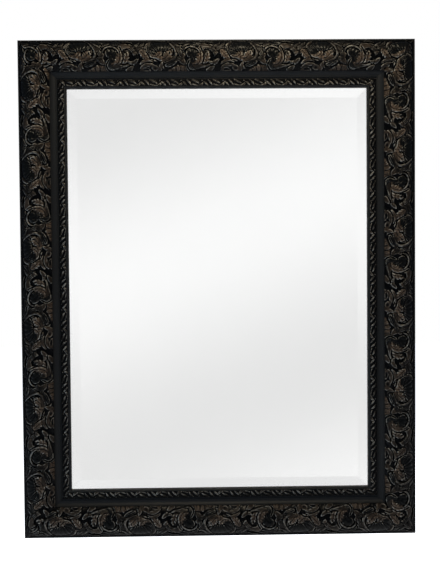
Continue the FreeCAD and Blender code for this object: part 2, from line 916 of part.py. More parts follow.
def make_ring(name, hinge):
    """A D-ring of bent wire: a bar in the strap's loop, two corners, two legs and a bow."""
    body = new_body(f"ring_{name}")
    path = new_sketch(body, f"ring_{name}_path", "XZ_Plane")
    corner = size.ring_corner
    draw_outline(path, [
        (0, 0),
        (bow_radius - corner, 0, "radius", corner),
        (bow_radius, -corner),
        (bow_radius, -size.ring_leg, "radius", bow_radius),
        (0, -ring_reach, "radius", bow_radius),
        (-bow_radius, -size.ring_leg),
        (-bow_radius, -corner, "radius", corner),
        (corner - bow_radius, 0),
    ])
    section = new_sketch(body, f"ring_{name}_wire", "YZ_Plane")
    draw_circle(section, (0, 0), wire_radius)
    doc.recompute()
    pipe = body.newObject("PartDesign::AdditivePipe", f"ring_{name}_pipe")
    pipe.Profile = section
    pipe.Spine = (path, [f"Edge{index + 1}" for index in range(8)])
    place(body, hinge, FreeCAD.Rotation(X_WAY, math.degrees(math.asin(ring_stand_off.value / ring_reach.value))))
    body.setExpression("Placement.Rotation.Angle", f"asin({(ring_stand_off / ring_reach).words})")
    name_subpart(body, f"hanger_ring_{name}")


def make_pads():
    """Rubber pads near the four corners, between the frame and the wall."""
    for side, name in zip(sides, ("top_left", "top_right", "bottom_right", "bottom_left")):
        body = new_body(f"pad_{name}")
        section = new_sketch(body, f"pad_{name}_section", "XZ_Plane")
        rim = size.pad_radius - size.pad_draft
        draw_outline(section, [
            (0, 0),
            (size.pad_radius, 0),
            (rim, pad_thickness - size.pad_round, "rise", size.pad_round / 4),
            (rim - size.pad_round, pad_thickness),
            (0, pad_thickness),
        ])
        revolve(body, section)
        place(body, side.at(size.pad_inset, 0, side.length / 2 - size.pad_inset), towards_the_wall)
        name_subpart(body, f"wall_pad_{name}")


def make_buttons():
    """Turn buttons, the screws they turn on, and the holes that those need."""
    screw = pan_head_screw()
    shank = size.button_screw_diameter / 2
    hole = screw_hole("button_screw_hole", shank, shank, shank, size.button_screw_length)
    head_gap = 2 * size.button_gap + size.button_thickness
    screws = []
    holes = []
    for name, side, along in button_places():
        make_button(f"turn_button_{name}", side, along)
        position = side.at(button_pivot, -head_gap, along)
        screws.append(link_to(screw, f"button_screw_{name}", position, into_the_wood))
        holes.append(link_to(hole, f"button_hole_{name}", position, into_the_wood))
    name_subpart(compound("turn_button_screws", screws), "turn_button_screws")
    return holes


def make_moulding(cutters):
    """The four lengths of wood, cut for the wedges and the screws."""
    names = {"top": "rail_top", "right": "stile_right", "bottom": "rail_bottom", "left": "stile_left"}
    for side in sides:
        name = names[side.name]
        wood = mitred_length(f"{name}_wood", side, moulding_section())
        name_subpart(cut(name, wood, cutters), name)


def make_ornament():
    scroll = ornament_tile("scroll", scroll_sections(), scroll_leaf_shares, scroll_boss_shares,
                           size.scroll_repeat, band_start, size.band_width)
    leaf = ornament_tile("leaf", leaf_sections(), small_leaf_shares, small_boss_shares,
                         size.leaf_repeat, sight_start, size.sight_band_width)
    for side in sides:
        past = end_blocks(side)
        ornament_strip(f"scroll_ornament_{side.name}", side, scroll, size.scroll_repeat,
                       scroll_start_shares[side.name], past)
        ornament_strip(f"sight_ornament_{side.name}", side, leaf, size.leaf_repeat,
                       leaf_start_shares[side.name], past)


def make_panels():
    name_subpart(panel("silver", 0, foam_front, size.silver_thickness), "silver_backing")
    name_subpart(panel("foam", size.foam_inset, board_front, size.foam_thickness), "foam_sheet")
    overhang = size.board_clearance - size.glass_clearance
    name_subpart(panel("board", overhang, size.board_recess, size.board_thickness), "backing_board")


def check_document():
    """Stop if anything in the document has failed."""
    faults = [thing.Name for thing in doc.Objects if "Invalid" in thing.State or "Error" in thing.State]
    for thing in subparts:
        if thing.Shape.isNull() or not thing.Shape.isValid() or not thing.Shape.Solids:
            faults.append(thing.Label)
    if faults:
        raise RuntimeError(f"failed: {', '.join(faults)}")


def main():
    write_sheet()
    wedges = make_wedges()
    holes = make_buttons() + make_hangers()
    make_moulding(compound("moulding_cutters", [wedges] + holes))
    make_ornament()
    make_glass()
    make_panels()
    make_tapes()
    make_blocks()
    make_pads()
    doc.recompute()
    check_document()
    os.makedirs("parts", exist_ok=True)
    for thing in subparts:
        thing.Shape.exportStep(f"parts/{thing.Label}.step")
        print(thing.Label, len(thing.Shape.Solids), round(thing.Shape.Volume, 1))


main()
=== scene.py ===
"""A wall mirror in a carved, dark bronzed frame, dressed for a studio photograph."""
import math

import bmesh
import bpy
import numpy as np
from bpy.props import FloatProperty, FloatVectorProperty, PointerProperty
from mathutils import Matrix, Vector


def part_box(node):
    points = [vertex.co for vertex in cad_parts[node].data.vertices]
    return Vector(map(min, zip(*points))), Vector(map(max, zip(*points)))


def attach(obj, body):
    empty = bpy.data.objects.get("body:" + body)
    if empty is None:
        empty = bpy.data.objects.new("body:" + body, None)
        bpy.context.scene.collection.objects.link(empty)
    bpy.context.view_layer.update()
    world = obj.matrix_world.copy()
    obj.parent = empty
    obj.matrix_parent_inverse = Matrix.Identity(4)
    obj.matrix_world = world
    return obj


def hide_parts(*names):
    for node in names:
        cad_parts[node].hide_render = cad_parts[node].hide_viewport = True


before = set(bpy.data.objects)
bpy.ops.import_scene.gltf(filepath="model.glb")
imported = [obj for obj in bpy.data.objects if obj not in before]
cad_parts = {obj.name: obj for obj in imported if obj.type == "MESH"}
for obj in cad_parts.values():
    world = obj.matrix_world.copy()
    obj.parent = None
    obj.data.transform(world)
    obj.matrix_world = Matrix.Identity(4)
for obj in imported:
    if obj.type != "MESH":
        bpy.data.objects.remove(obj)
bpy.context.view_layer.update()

bl_info = {
    "name": "Carved Frame Mirror",
    "version": (1, 0, 0),
    "blender": (4, 5, 0),
    "location": "3D View > Sidebar > Mirror",
    "description": "Dresses a bevelled wall mirror in a carved, dark bronzed frame",
    "category": "Object",
}

MM = 0.001
SIDES = ("top", "right", "bottom", "left")

# From the frame: half sizes, the wood's back face, and each carved band. A band's outer and inner edges
# are measured inwards from the outside of the frame, its crown and seat out from the wood's back face

HALF_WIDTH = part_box("stile_right")[1][0]
HALF_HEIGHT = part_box("rail_top")[1][2]
WOOD_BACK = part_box("rail_top")[1][1]
SCROLL_OUTER = HALF_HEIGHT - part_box("scroll_ornament_top")[1][2]
SCROLL_INNER = HALF_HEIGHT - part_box("scroll_ornament_top")[0][2]
SCROLL_CROWN = WOOD_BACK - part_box("scroll_ornament_top")[0][1]
SIGHT_OUTER = HALF_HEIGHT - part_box("sight_ornament_top")[1][2]
SIGHT_INNER = HALF_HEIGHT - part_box("sight_ornament_top")[0][2]
SIGHT_CROWN = WOOD_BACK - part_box("sight_ornament_top")[0][1]
SIGHT_SEAT = WOOD_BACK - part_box("sight_ornament_top")[1][1]

# Heights out from the wood's back face: the arched seat under the scrolls and the ground that each band
# is carved on. A rise is how far an arch stands over its chord, a lift how far carving stands on its ground

SCROLL_SEAT_OUTER = 20.1 * MM
SCROLL_SEAT_INNER = 17.5 * MM
SCROLL_SEAT_RISE = 14.3 * MM
SCROLL_GROUND_OUTER = 23.8 * MM
SCROLL_GROUND_INNER = 21.6 * MM
SCROLL_GROUND_RISE = 12.4 * MM
SCROLL_EDGE_LIFT = 2.4 * MM
SCROLL_LIFT_SHARE = 0.97
SIGHT_GROUND = 15.0 * MM
SIGHT_GROUND_RISE = 0.4 * MM
SIGHT_EDGE_LIFT_SHARE = 0.6
SEAT_CLEARANCE = 0.05 * MM
LEAST_THICKNESS = 8 * SEAT_CLEARANCE

# The flat sheets that the carvings are drawn on, in mm at their usual repeats: length and width, the step
# of the grid, the depth of the ground as a share of the lift, the flat field's rise over it and its wash,
# and the widths of the soft edges that strokes and bands have

SCROLL_SHEET = (156.0, 58.0)
SCROLL_SHEET_STEP = 0.4
SCROLL_GROUND_DEPTH = 0.25
SIGHT_SHEET = (41.0, 13.5)
SIGHT_SHEET_STEP = 0.2
SIGHT_GROUND_DEPTH = 0.1
FIELD_RISE = 0.45
FIELD_WASH = 0.85
SPINE_STEPS = 36
TRENCH_WIDTH = 1.2
BORDER_WIDTH = 0.9
VEIN_WIDTH = 0.7
BAND_EDGE_WIDTH = 1.2

# The carved mesh and its masks: steps over the underside, how strongly crests and hollows stand out, the
# hollows darkened as painted shade and the crests paled as rub and painted highlight, and how much of the
# brown wash and pale rub is left along a band's outer edge, where less is left as painted shade

UNDERSIDE_STEPS = 8
MERGE_DISTANCE = 0.001 * MM
CREASE_ANGLE = math.radians(75)
RELIEF_CONTRAST = 2.2
SUNK_CONTRAST = 0.4
LEAST_EDGE_LIGHT = 0.35

# The glass plate: its bevel, ground arrises and the film of air before the silver coat

GLASS_BEVEL_WIDTH = 25 * MM
GLASS_BEVEL_DROP = 1.8 * MM
GLASS_ARRIS = 0.4 * MM
GLASS_AIR = 0.02 * MM
GLASS_ARRIS_ANGLE = math.radians(60)
GLASS_IOR = 1.5

# Fixed tones of the finishes: a pair where a finish goes from one tone to the other. Then how much paler
# than their own colour paint and metal get in patches, and how fine the wood's fibres are each way

# The first tone is painted shade: the near black that the carving's hollows are darkened to
PAINTED_SHADE_BLACK = (0.0008, 0.0007, 0.0006)
GLASS_TINT = (0.995, 0.996, 0.995)
SILVER_TONES = ((0.93, 0.931, 0.93), (0.905, 0.907, 0.906))
BARE_WOOD_TONES = ((0.22, 0.13, 0.065), (0.42, 0.29, 0.17))
HARDBOARD_TONES = ((0.13, 0.062, 0.027), (0.3, 0.165, 0.085))
HARDBOARD_CLOUD = (0.22, 0.125, 0.065)
FELT_TONES = ((0.02, 0.02, 0.021), (0.05, 0.05, 0.05))
BLOCK_RUBBER_TONES = ((0.012, 0.012, 0.013), (0.02, 0.02, 0.02))
FOAM_TONES = ((0.78, 0.78, 0.76), (0.86, 0.86, 0.85))
PAD_RUBBER_TONES = ((0.55, 0.53, 0.48), (0.62, 0.6, 0.55))
ZINC = (0.5, 0.51, 0.52)
YELLOW_ZINC = (0.52, 0.42, 0.22)
STEEL = (0.3, 0.3, 0.3)
PAINT_MOTTLE = 1.35
METAL_BLOOM = 1.25
FIBRES_ALONG = 4.0
FIBRES_ACROSS = 55.0

# What the glass shows: a card straight in front with soft slanted bands, and a pale room round it. The
# slope and the spacing of the bands are tangents of the view, the card ends between two directions, and
# the least depth keeps the tangents of sideways rays finite

CARD_SLANT = 0.377
CARD_PERIOD = 0.305
CARD_DARK = 0.86
CARD_BRIGHT = 1.055
CARD_WHOLE_Y = -0.93
CARD_END_Y = -0.9
LEAST_DEPTH = 0.01
MIRRORED_ROOM_TONES = ((0.55, 0.55, 0.56), (0.8, 0.8, 0.8))

# The white behind the mirror, and the dim room that lights the frame, from low to high

WHITE = (1.0, 1.0, 1.0)
ROOM_TONES = ((0.13, 0.168, 0.245), (0.092, 0.12, 0.178))
ROOM_LOW_Z = -0.6
ROOM_HIGH_Z = 0.8

# The floor: its drop below the mirror, its front edge, half its side, and how much it glows for the frame,
# for the glass and for the camera

FLOOR_DROP = 0.35
FLOOR_FRONT = -1.6
FLOOR_HALF_SIDE = 5.0
FLOOR_GLOW = (0.3, 0.3, 0.3)
MIRRORED_FLOOR_GLOW = (0.5, 0.5, 0.5)
SEEN_FLOOR_GLOW = (1.0, 1.0, 1.0)

# Each lamp: name, place, aim, size in m, beam in degrees, power in W, tint, and whether it leaves glints

LAMPS = (
    ("key", (0.05, -0.8, 1.15), (0.05, 0, 0.42), 0.3, 100, 3.6, (1.0, 0.87, 0.64), True),
    ("side", (-1.5, -1.1, -0.9), (0, 0, 0), 0.8, 180, 28.0, (0.54, 0.75, 1.0), False),
    ("back", (1.1, 2.3, 1.6), (0, 0, 0), 1.5, 180, 80.0, (1.0, 1.0, 1.0), True),
)

# The camera's sensor over the height of the picture, in mm

SENSOR_MM = 36.0


class MirrorSizes(bpy.types.PropertyGroup):
    """Sizes of the carving that can be changed."""

    scroll_repeat: FloatProperty(
        name="Scroll repeat", description="Length of one scroll along the frame",
        default=156 * MM, min=60 * MM, max=400 * MM, unit="LENGTH")
    sight_repeat: FloatProperty(
        name="Sight repeat", description="Length of one leaf along the sight edge",
        default=41 * MM, min=15 * MM, max=120 * MM, unit="LENGTH")
    scroll_pitch: FloatProperty(
        name="Scroll pitch", description="Spacing of the mesh on the scrolls",
        default=0.82 * MM, min=0.5 * MM, max=5 * MM, unit="LENGTH")
    sight_pitch: FloatProperty(
        name="Sight pitch", description="Spacing of the mesh on the sight leaves",
        default=0.6 * MM, min=0.4 * MM, max=5 * MM, unit="LENGTH")


class MirrorColours(bpy.types.PropertyGroup):
    """Colours of the finishes."""

    paint: FloatVectorProperty(
        name="Paint", description="Dark paint of the moulding",
        subtype="COLOR", size=3, default=(0.0105, 0.0108, 0.0103))
    bronze: FloatVectorProperty(
        name="Bronze", description="Dark bronze of the carving",
        subtype="COLOR", size=3, default=(0.0045, 0.0046, 0.0038))
    wash: FloatVectorProperty(
        name="Wash", description="Brown wash on the high leaves",
        subtype="COLOR", size=3, default=(0.094, 0.064, 0.042))
    # Pale rub on the crests, which also stands in as a painted highlight
    rub_and_highlight: FloatVectorProperty(
        name="Rub", description="Pale rub on the crests",
        subtype="COLOR", size=3, default=(0.34, 0.315, 0.265))
    floor: FloatVectorProperty(
        name="Floor", description="Pale studio floor",
        subtype="COLOR", size=3, default=(0.9, 0.9, 0.9))


class MirrorCamera(bpy.types.PropertyGroup):
    """The camera in front of the mirror."""

    place: FloatVectorProperty(
        name="Place", description="Where the camera stands",
        subtype="TRANSLATION", size=3, default=(-0.047, -2.251, 0.082))
    turn: FloatVectorProperty(
        name="Turn", description="How the camera is turned",
        subtype="EULER", size=3,
        default=(math.radians(87.77), math.radians(0.47), math.radians(-1.285)))
    lens: FloatProperty(
        name="Lens", description="Focal length over a 36 mm frame height",
        default=70.0, min=20.0, max=200.0)


# Carving: strokes laid on a flat sheet as heights, each a share of the lift at its place


def smooth_step(x):
    """A smooth rise from 0 to 1 while x goes from 0 to 1."""
    x = np.clip(x, 0, 1)
    return x * x * (3 - 2 * x)


def spine_points(points):
    """Points along a smooth curve through a stroke's own: one arch through three, spans through more."""
    points = [Vector(point) for point in points]
    if len(points) == 3:
        start, middle, end = points
        pull = middle * 2 - (start + end) / 2
        shares = [i / SPINE_STEPS for i in range(SPINE_STEPS + 1)]
        return [start * (1 - t) ** 2 + pull * (2 * t * (1 - t)) + end * t * t for t in shares]
    ends = [points[0] * 2 - points[1], *points, points[-1] * 2 - points[-2]]
    steps = SPINE_STEPS // (len(points) - 1)
    out = []
    for before, first, second, after in zip(ends, ends[1:], ends[2:], ends[3:]):
        for i in range(steps):
            t = i / steps
            out.append((first * 2 + (second - before) * t
                        + (before * 2 - first * 5 + second * 4 - after) * t ** 2
                        + (first * 3 - before - second * 3 + after) * t ** 3) / 2)
    out.append(points[-1])
    return out


class Sheet:
    """Heights and brown wash of one repeat of a carving, on a grid that wraps along its length."""

    def __init__(self, size, step):
        self.length, self.width = size
        self.step = step
        along = np.arange(0, self.length, step)
        across = np.arange(0, self.width + step / 2, step)
        self.along, self.across = np.meshgrid(along, across)
        self.height = np.zeros(self.along.shape)
        self.wash = np.zeros(self.along.shape)

    def wrapped(self, middle):
        """Distance along the sheet from a middle, the short way round the repeat."""
        return (self.along - middle + self.length / 2) % self.length - self.length / 2

    def follow(self, points):
        """Share along a spine and signed distance from it, for every place on the sheet."""
        spine = spine_points(points)
        middle = sum(point.x for point in spine) / len(spine)
        x = self.wrapped(middle) + middle
        lengths = [(b - a).length for a, b in zip(spine, spine[1:])]
        nearest = np.full(x.shape, np.inf)
        share = np.zeros(x.shape)
        side = np.ones(x.shape)
        walked = 0.0
        for a, b, length in zip(spine, spine[1:], lengths):
            run = b - a
            dx = x - a.x
            dy = self.across - a.y
            t = np.clip((dx * run.x + dy * run.y) / length ** 2, 0, 1)
            distance = np.hypot(dx - t * run.x, dy - t * run.y)
            closer = distance < nearest
            nearest = np.where(closer, distance, nearest)
            share = np.where(closer, (walked + t * length) / sum(lengths), share)
            side = np.where(closer, np.where(run.x * dy - run.y * dx < 0, -1, 1), side)
            walked += length
        return share, nearest * side

    def lay(self, reach, body, wash, trench):
        """Press a trench round a stroke's border, where its reach is 0, then lay the stroke inside it."""
        outside = np.clip(reach, 0, None)
        depth_share = 0.35 + 0.65 * np.clip(self.height, 0, 1)
        ditch = trench * np.exp(-(outside / TRENCH_WIDTH) ** 2) * depth_share
        self.height = self.height - ditch * (reach > 0)
        inside = smooth_step(-reach / BORDER_WIDTH)
        self.height = self.height * (1 - inside) + body * inside
        self.wash = self.wash * (1 - inside) + wash * inside

    def leaf(self, points, half_width, rise, wash=0.0, flutes=0, depth=0.2,
             low=0.4, vein=0.0, lobes=0, trench=0.4):
        """A domed leaf, low at its border. Flutes run along it, a vein is cut down its middle, and lobes
        swing out to both of its edges."""
        share, distance = self.follow(points)
        width = half_width * np.clip(np.sin(np.pi * (0.15 + 0.85 * share)), 0, 1) ** 0.6 + 0.05
        if lobes:
            off = np.clip(np.abs(distance) / width, 0, 1.2)
            swing = np.abs(np.sin(np.pi * lobes * (share - 0.2 * off)))
            width = width * (1.0 + 0.3 * (swing - 0.75))
        across = np.clip(distance / width, -1.2, 1.2)
        dome = np.sqrt(np.clip(1 - np.abs(across) ** 2.2, 0, 1))
        body = rise * (low + (1 - low) * dome) * (0.8 + 0.2 * np.sin(np.pi * share))
        if flutes:
            fade = np.sin(np.pi * np.clip(share, 0.08, 0.92))
            body = body + depth * np.cos(np.pi * flutes * across) * fade
        if lobes:
            body = body + depth * (swing - 0.6) * np.sqrt(np.abs(across))
        body = body - vein * np.exp(-(distance / VEIN_WIDTH) ** 2)
        self.lay(np.abs(distance) - width, body, wash, trench)

    def rim(self, points, half_width, rise, wash=0.0, taper=0.3, trench=0.3):
        """A round bead along a spine, thin at both ends."""
        share, distance = self.follow(points)
        width = half_width * (0.25 + 0.75 * smooth_step(np.minimum(share, 1 - share) / taper))
        across = np.clip(distance / width, -1, 1)
        body = rise * (0.3 + 0.7 * np.sqrt(1 - across ** 2))
        self.lay(np.abs(distance) - width, body, wash, trench)

    def bowl(self, centre, radii, turn, rise, wash=0.0, flutes=0, depth=0.16,
             hub=0.0, cup=0.0, trench=0.4):
        """An oval boss, turned in degrees. Flutes fan out from its hub, and a cup sinks its middle."""
        x = self.wrapped(centre[0])
        y = self.across - centre[1]
        cos, sin = math.cos(math.radians(turn)), math.sin(math.radians(turn))
        p = (x * cos + y * sin) / radii[0]
        q = (y * cos - x * sin) / radii[1]
        radius = np.hypot(p, q)
        body = rise * (0.3 + 0.7 * np.sqrt(np.clip(1 - radius ** 2, 0, 1)))
        body = body - cup * np.exp(-(radius / 0.6) ** 2)
        if flutes:
            fan = np.cos(flutes * np.arctan2(q - hub, p))
            body = body + depth * fan * smooth_step(radius * 1.4)
        self.lay((radius - 1) * min(radii), body, wash, trench)

    def pit(self, points, half_width, depth):
        """A hollow along a spine, its depth taken below the ground, with no wash in it."""
        share, distance = self.follow(points)
        width = half_width * np.clip(np.sin(np.pi * (0.12 + 0.76 * share)), 0, 1) ** 0.5
        hole = np.exp(-(distance / width * 1.05) ** 4)
        self.height = self.height * (1 - hole) - depth * hole
        self.wash = self.wash * (1 - hole)

    def soften(self, times):
        """Round every edge off a little, as a cast copy of carving is."""
        for _ in range(times):
            self.height = blurred(self.height, 1)
            self.wash = blurred(self.wash, 1)


def blurred(field, reach):
    """A mean over a few steps each way; the length wraps and the width doesn't."""
    padded = np.pad(field, ((reach, reach), (0, 0)), mode="edge")
    rows = len(field)
    weights = [reach + 1 - abs(i) for i in range(-reach, reach + 1)]
    total = sum(weights)
    down = sum(weight * padded[i:i + rows] for i, weight in enumerate(weights)) / total
    return sum(weight * np.roll(down, i - reach, 1) for i, weight in enumerate(weights)) / total


def draw(sheet, strokes):
    """Lay strokes in turn: each has its kind, that kind's values in order, and last any others by name."""
    for kind, *values in strokes:
        options = values.pop() if isinstance(values[-1], dict) else {}
        getattr(sheet, kind)(*values, **options)


# The strokes of each sheet, in the order they are laid. Places are along and across the sheet, in its mm,
# and what follows them stands in the order of the stroke's own method. Like leaves share their options

FIELD_LEAF = {"vein": 0.12, "trench": 0.25}
PLAIN_LOBED = {"low": 0.5, "lobes": 4, "depth": 0.25}
LOBED = {"low": 0.5, "lobes": 4, "vein": 0.3, "depth": 0.3}
DEEP_LOBED = {**LOBED, "vein": 0.35}
FIVE_LOBED = {**DEEP_LOBED, "lobes": 5}

SCROLL_STROKES = (
    # low lobes on the field by the cove
    ("leaf", ((-13, 51), (-10, 55), (-9, 60)), 3.4, 0.5, 0.8, 0, 0.1, FIELD_LEAF),
    ("leaf", ((-2, 49), (-1, 54), (-1, 60)), 3.8, 0.55, 0.85, 0, 0.1, FIELD_LEAF),
    ("leaf", ((8, 51), (7.5, 55), (8, 60)), 3.4, 0.5, 0.8, 0, 0.1, FIELD_LEAF),
    # leaves along the outer edge
    ("leaf", ((-12, 22), (-4, 16), (6, 19)), 6.5, 0.55, 0.1, 4),
    ("leaf", ((-14, 8), (-6, 13), (7, 10)), 4.6, 0.6, 0.1, 4),
    ("leaf", ((-8, 2.5), (4, 5), (18, 3)), 3.4, 0.6, 0.05, 3),
    ("leaf", ((8, 13), (16, 7), (26, 8)), 3.6, 0.55, 0.1, 3),
    ("leaf", ((24, 12), (34, 6), (46, 10)), 6.0, 0.45, 0.0, 4),
    ("leaf", ((26, 2), (38, 4.5), (50, 9)), 2.6, 0.5, 0.0, 2),
    ("leaf", ((46, 2.6), (56, 2.6), (68, 6)), 2.5, 0.75, 0.15, 2),
    ("leaf", ((58, 8), (64, 12), (72, 14)), 3.2, 0.6, 0.1, 3),
    ("leaf", ((66, 14), (74, 10), (80, 3)), 3.6, 0.65, 0.1, 5),
    ("leaf", ((74, 16), (83, 11), (89, 3)), 4.0, 0.6, 0.1, 5),
    ("leaf", ((68, 20), (80, 19), (92, 12)), 4.6, 0.65, 0.1, 5),
    ("leaf", ((76, 26), (86, 22), (97, 20)), 4.0, 0.5, 0.0, 4),
    ("leaf", ((92, 15), (95.5, 9), (103, 3)), 4.0, 0.95, 0.35, {"vein": 0.2}),
    # the lower scroll and the leaves that it holds
    ("leaf", ((57, 14), (66, 19), (72, 30)), 5.5, 0.65, 0.15, 4),
    ("leaf", ((43, 26), (46, 13), (63, 15)), 6.6, 0.85, 0.35, 5, 0.1),
    ("leaf", ((49, 45), (54, 34), (57, 22)), 7.0, 0.8, 0.8, LOBED),
    ("pit", ((53, 22), (54.3, 26), (55, 29)), 1.6, 0.0),
    ("leaf", ((29, 47), (40, 42), (42, 22)), 10.5, 0.95, 1.0, FIVE_LOBED),
    ("pit", ((41, 13), (48.5, 31), (45, 44)), 1.5, 0.15),
    ("bowl", (25.5, 25.5), (12.5, 10.5), 15, 0.8, 0.0, 24, 0.1, {"hub": 1.7, "cup": 0.15}),
    ("leaf", ((23, 29), (26, 36), (30, 44)), 5.0, 0.55, 0.0, 5),
    ("rim", ((8, 28), (12, 17), (22, 12.5), (32, 15), (39, 21), (41.5, 28)), 2.2, 1.0, 0.15),
    ("leaf", ((9, 29), (5, 37), (14, 46)), 6.5, 0.5, 0.3, 3, 0.08),
    ("leaf", ((22, 39), (22, 52), (37, 58)), 7.0, 0.8, 0.0, 7),
    ("leaf", ((30, 50), (44, 51), (62, 46)), 4.4, 0.7, 0.2, 3, 0.1),
    ("pit", ((20, 39), (16, 49), (24, 58), (40, 55.5), (59, 50.5)), 1.7, 0.3),
    ("pit", ((43, 45.5), (52, 46), (61, 43.5)), 1.3, 0.2),
    # lobes and gaps between the scrolls
    ("leaf", ((68, 41), (63, 43.5), (58, 40)), 3.4, 0.75, 0.25),
    ("leaf", ((55, 56), (62, 54), (69, 49)), 4.8, 0.85, 0.3),
    ("leaf", ((66, 31), (70.5, 26.5), (76, 24)), 4.0, 0.8, 0.35),
    ("leaf", ((69, 46), (73, 41), (79, 36)), 4.2, 0.85, 0.25),
    ("pit", ((65, 28), (66, 34), (64, 39)), 3.2, 0.35),
    ("pit", ((82, 36), (79, 47), (69, 56)), 4.0, 0.4),
    ("pit", ((78, 27), (80, 31), (79, 35)), 2.4, 0.3),
    # the upper scroll with its fluted hood
    ("leaf", ((83, 22), (90, 30), (99, 38)), 7.2, 0.9, 0.95, LOBED),
    ("leaf", ((82, 45), (94, 39.5), (108, 43)), 3.6, 0.6, 0.45, 3, 0.1),
    ("leaf", ((83, 52), (96, 47), (110, 48)), 4.2, 0.65, 0.4, 3, 0.1),
    ("leaf", ((82, 58), (92, 55), (102, 58)), 4.2, 0.5, 0.35, 3, 0.1),
    ("leaf", ((97, 30), (107, 35), (123, 40)), 4.4, 0.75, 0.6, PLAIN_LOBED),
    ("leaf", ((104, 32), (114, 32), (122, 22)), 8.4, 0.95, 1.0, DEEP_LOBED),
    ("leaf", ((125, 36), (133, 32), (140, 20)), 9.6, 0.95, 1.0, DEEP_LOBED),
    ("pit", ((95, 27), (102, 35), (111, 37.5), (120, 42)), 1.5, 0.25),
    ("pit", ((124, 22), (124.6, 27), (124, 31)), 1.5, 0.2),
    ("pit", ((138, 24), (138.6, 26), (138, 28)), 1.0, 0.2),
    ("leaf", ((127, 38.5), (137, 37.5), (146, 31)), 3.4, 0.7, 0.4, 5, 0.2),
    ("leaf", ((108, 25), (100, 19), (105, 6)), 7.5, 0.6, 0.0, 5),
    ("bowl", (121.5, 13), (23.5, 10.0), -3, 0.75, 0.0, 40, 0.14, {"hub": 1.9}),
    ("pit", ((140, 8), (146, 20), (144, 34)), 1.3, 0.2),
    ("rim", ((131, 1), (141, 8), (148, 16), (151, 26), (148, 35), (139, 40.5), (126, 43.5)),
     3.0, 1.0, 0.2),
    ("leaf", ((142, 3), (150, 9), (158, 12)), 3.4, 0.75, 0.15, 2),
    ("leaf", ((152, 16), (158, 24), (160, 36)), 4.4, 0.55, 0.1, 3),
    ("leaf", ((150, 40), (157, 36), (165, 36)), 4.0, 0.45, 0.1, 3),
    # the stem and the tails of the upper scroll
    ("leaf", ((118, 60), (121, 50), (125, 41)), 4.6, 0.7, 0.5, 4, 0.1),
    ("bowl", (110, 52.5), (7.5, 5.6), 15, 0.6, 0.4, {"cup": 0.9}),
    ("pit", ((95, 42.6), (101, 42.8), (106, 43.6)), 1.4, 0.2),
    ("pit", ((88, 55), (93.5, 54.6), (98, 55)), 1.9, 0.3),
    ("pit", ((115, 40), (118, 41.2), (121, 41.5)), 1.5, 0.3),
    ("leaf", ((127, 51), (138, 47), (153, 41)), 5.4, 0.7, 0.0, 3, 0.2),
    ("pit", ((127, 44), (129, 51.5), (138, 52.6), (150, 48)), 1.8, 0.35),
)

SIGHT_STROKES = (
    ("leaf", ((-1, 2.5), (3, 5.5), (8, 12.5)), 2.3, 0.9, 0.15, 1, 0.1),
    ("leaf", ((9, 2), (17, 5), (24, 9.5)), 2.5, 0.9, 0.15, 2, 0.12),
    ("leaf", ((10, 10), (16, 12), (23, 12.8)), 1.6, 0.45, 0.1),
    ("pit", ((15, 8.8), (18, 10), (21, 11)), 1.1, 0.2),
    ("bowl", (28.5, 3.2), (1.9, 1.9), 0, 0.7, 0.1),
    ("leaf", ((23, 12.5), (28, 10.8), (31, 6)), 2.9, 1.0, 0.2, 1, 0.1),
    ("leaf", ((32, 5.5), (35.5, 8.5), (41, 13)), 2.3, 0.95, 0.15, 1, 0.1),
    ("pit", ((33.5, 3.4), (36, 4), (38.5, 4.8)), 1.2, 0.3),
)


def flat_field(sheet):
    """Share of the flat field between two scrolls: it opens towards the cove, with soft borders.

    Lengths are in the sheet's mm, and the field's middle lies that far along it."""
    middle = -1
    half_length = 18
    half_length_at = 50
    flare = 0.6
    side_border = 6
    start = 46
    start_slope = 0.1
    start_border = 5
    x = sheet.wrapped(0)
    inside = half_length - np.abs(x - middle) + (sheet.across - half_length_at) * flare
    past_start = sheet.across - start + start_slope * x
    return smooth_step(inside / side_border) * smooth_step(past_start / start_border)


def scroll_sheet():
    """One repeat of the big scrolls over a ground that rises to the flat field by the cove."""
    sheet = Sheet(SCROLL_SHEET, SCROLL_SHEET_STEP)
    field = flat_field(sheet)
    sheet.height = FIELD_RISE * field - SCROLL_GROUND_DEPTH
    sheet.wash = FIELD_WASH * field
    draw(sheet, SCROLL_STROKES)
    sheet.soften(1)
    return sheet


def sight_sheet():
    """One repeat of the small leaves at the sight edge."""
    sheet = Sheet(SIGHT_SHEET, SIGHT_SHEET_STEP)
    sheet.height = np.full(sheet.height.shape, -SIGHT_GROUND_DEPTH)
    draw(sheet, SIGHT_STROKES)
    sheet.soften(2)
    return sheet


def arc_height(share, rise, width):
    """Height of a round arc of the given rise over its chord, at a share of the chord."""
    radius = (width ** 2 / 4 + rise ** 2) / (2 * rise)
    return np.sqrt(radius ** 2 - ((share - 0.5) * width) ** 2) - (radius - rise)


def sample(field, sheet, along, across):
    """Values of a field between the sheet's own places; along wraps, across stops short of the edge."""
    rows, columns = field.shape
    x = (along % sheet.length) / sheet.step
    y = np.clip(across / sheet.step, 0, rows - 1.001)
    left = np.floor(x).astype(int)
    low = np.floor(y).astype(int)
    fx, fy = x - left, y - low
    left, right = left % columns, (left + 1) % columns
    lower = field[low, left] * (1 - fx) + field[low, right] * fx
    upper = field[low + 1, left] * (1 - fx) + field[low + 1, right] * fx
    return lower * (1 - fy) + upper * fy


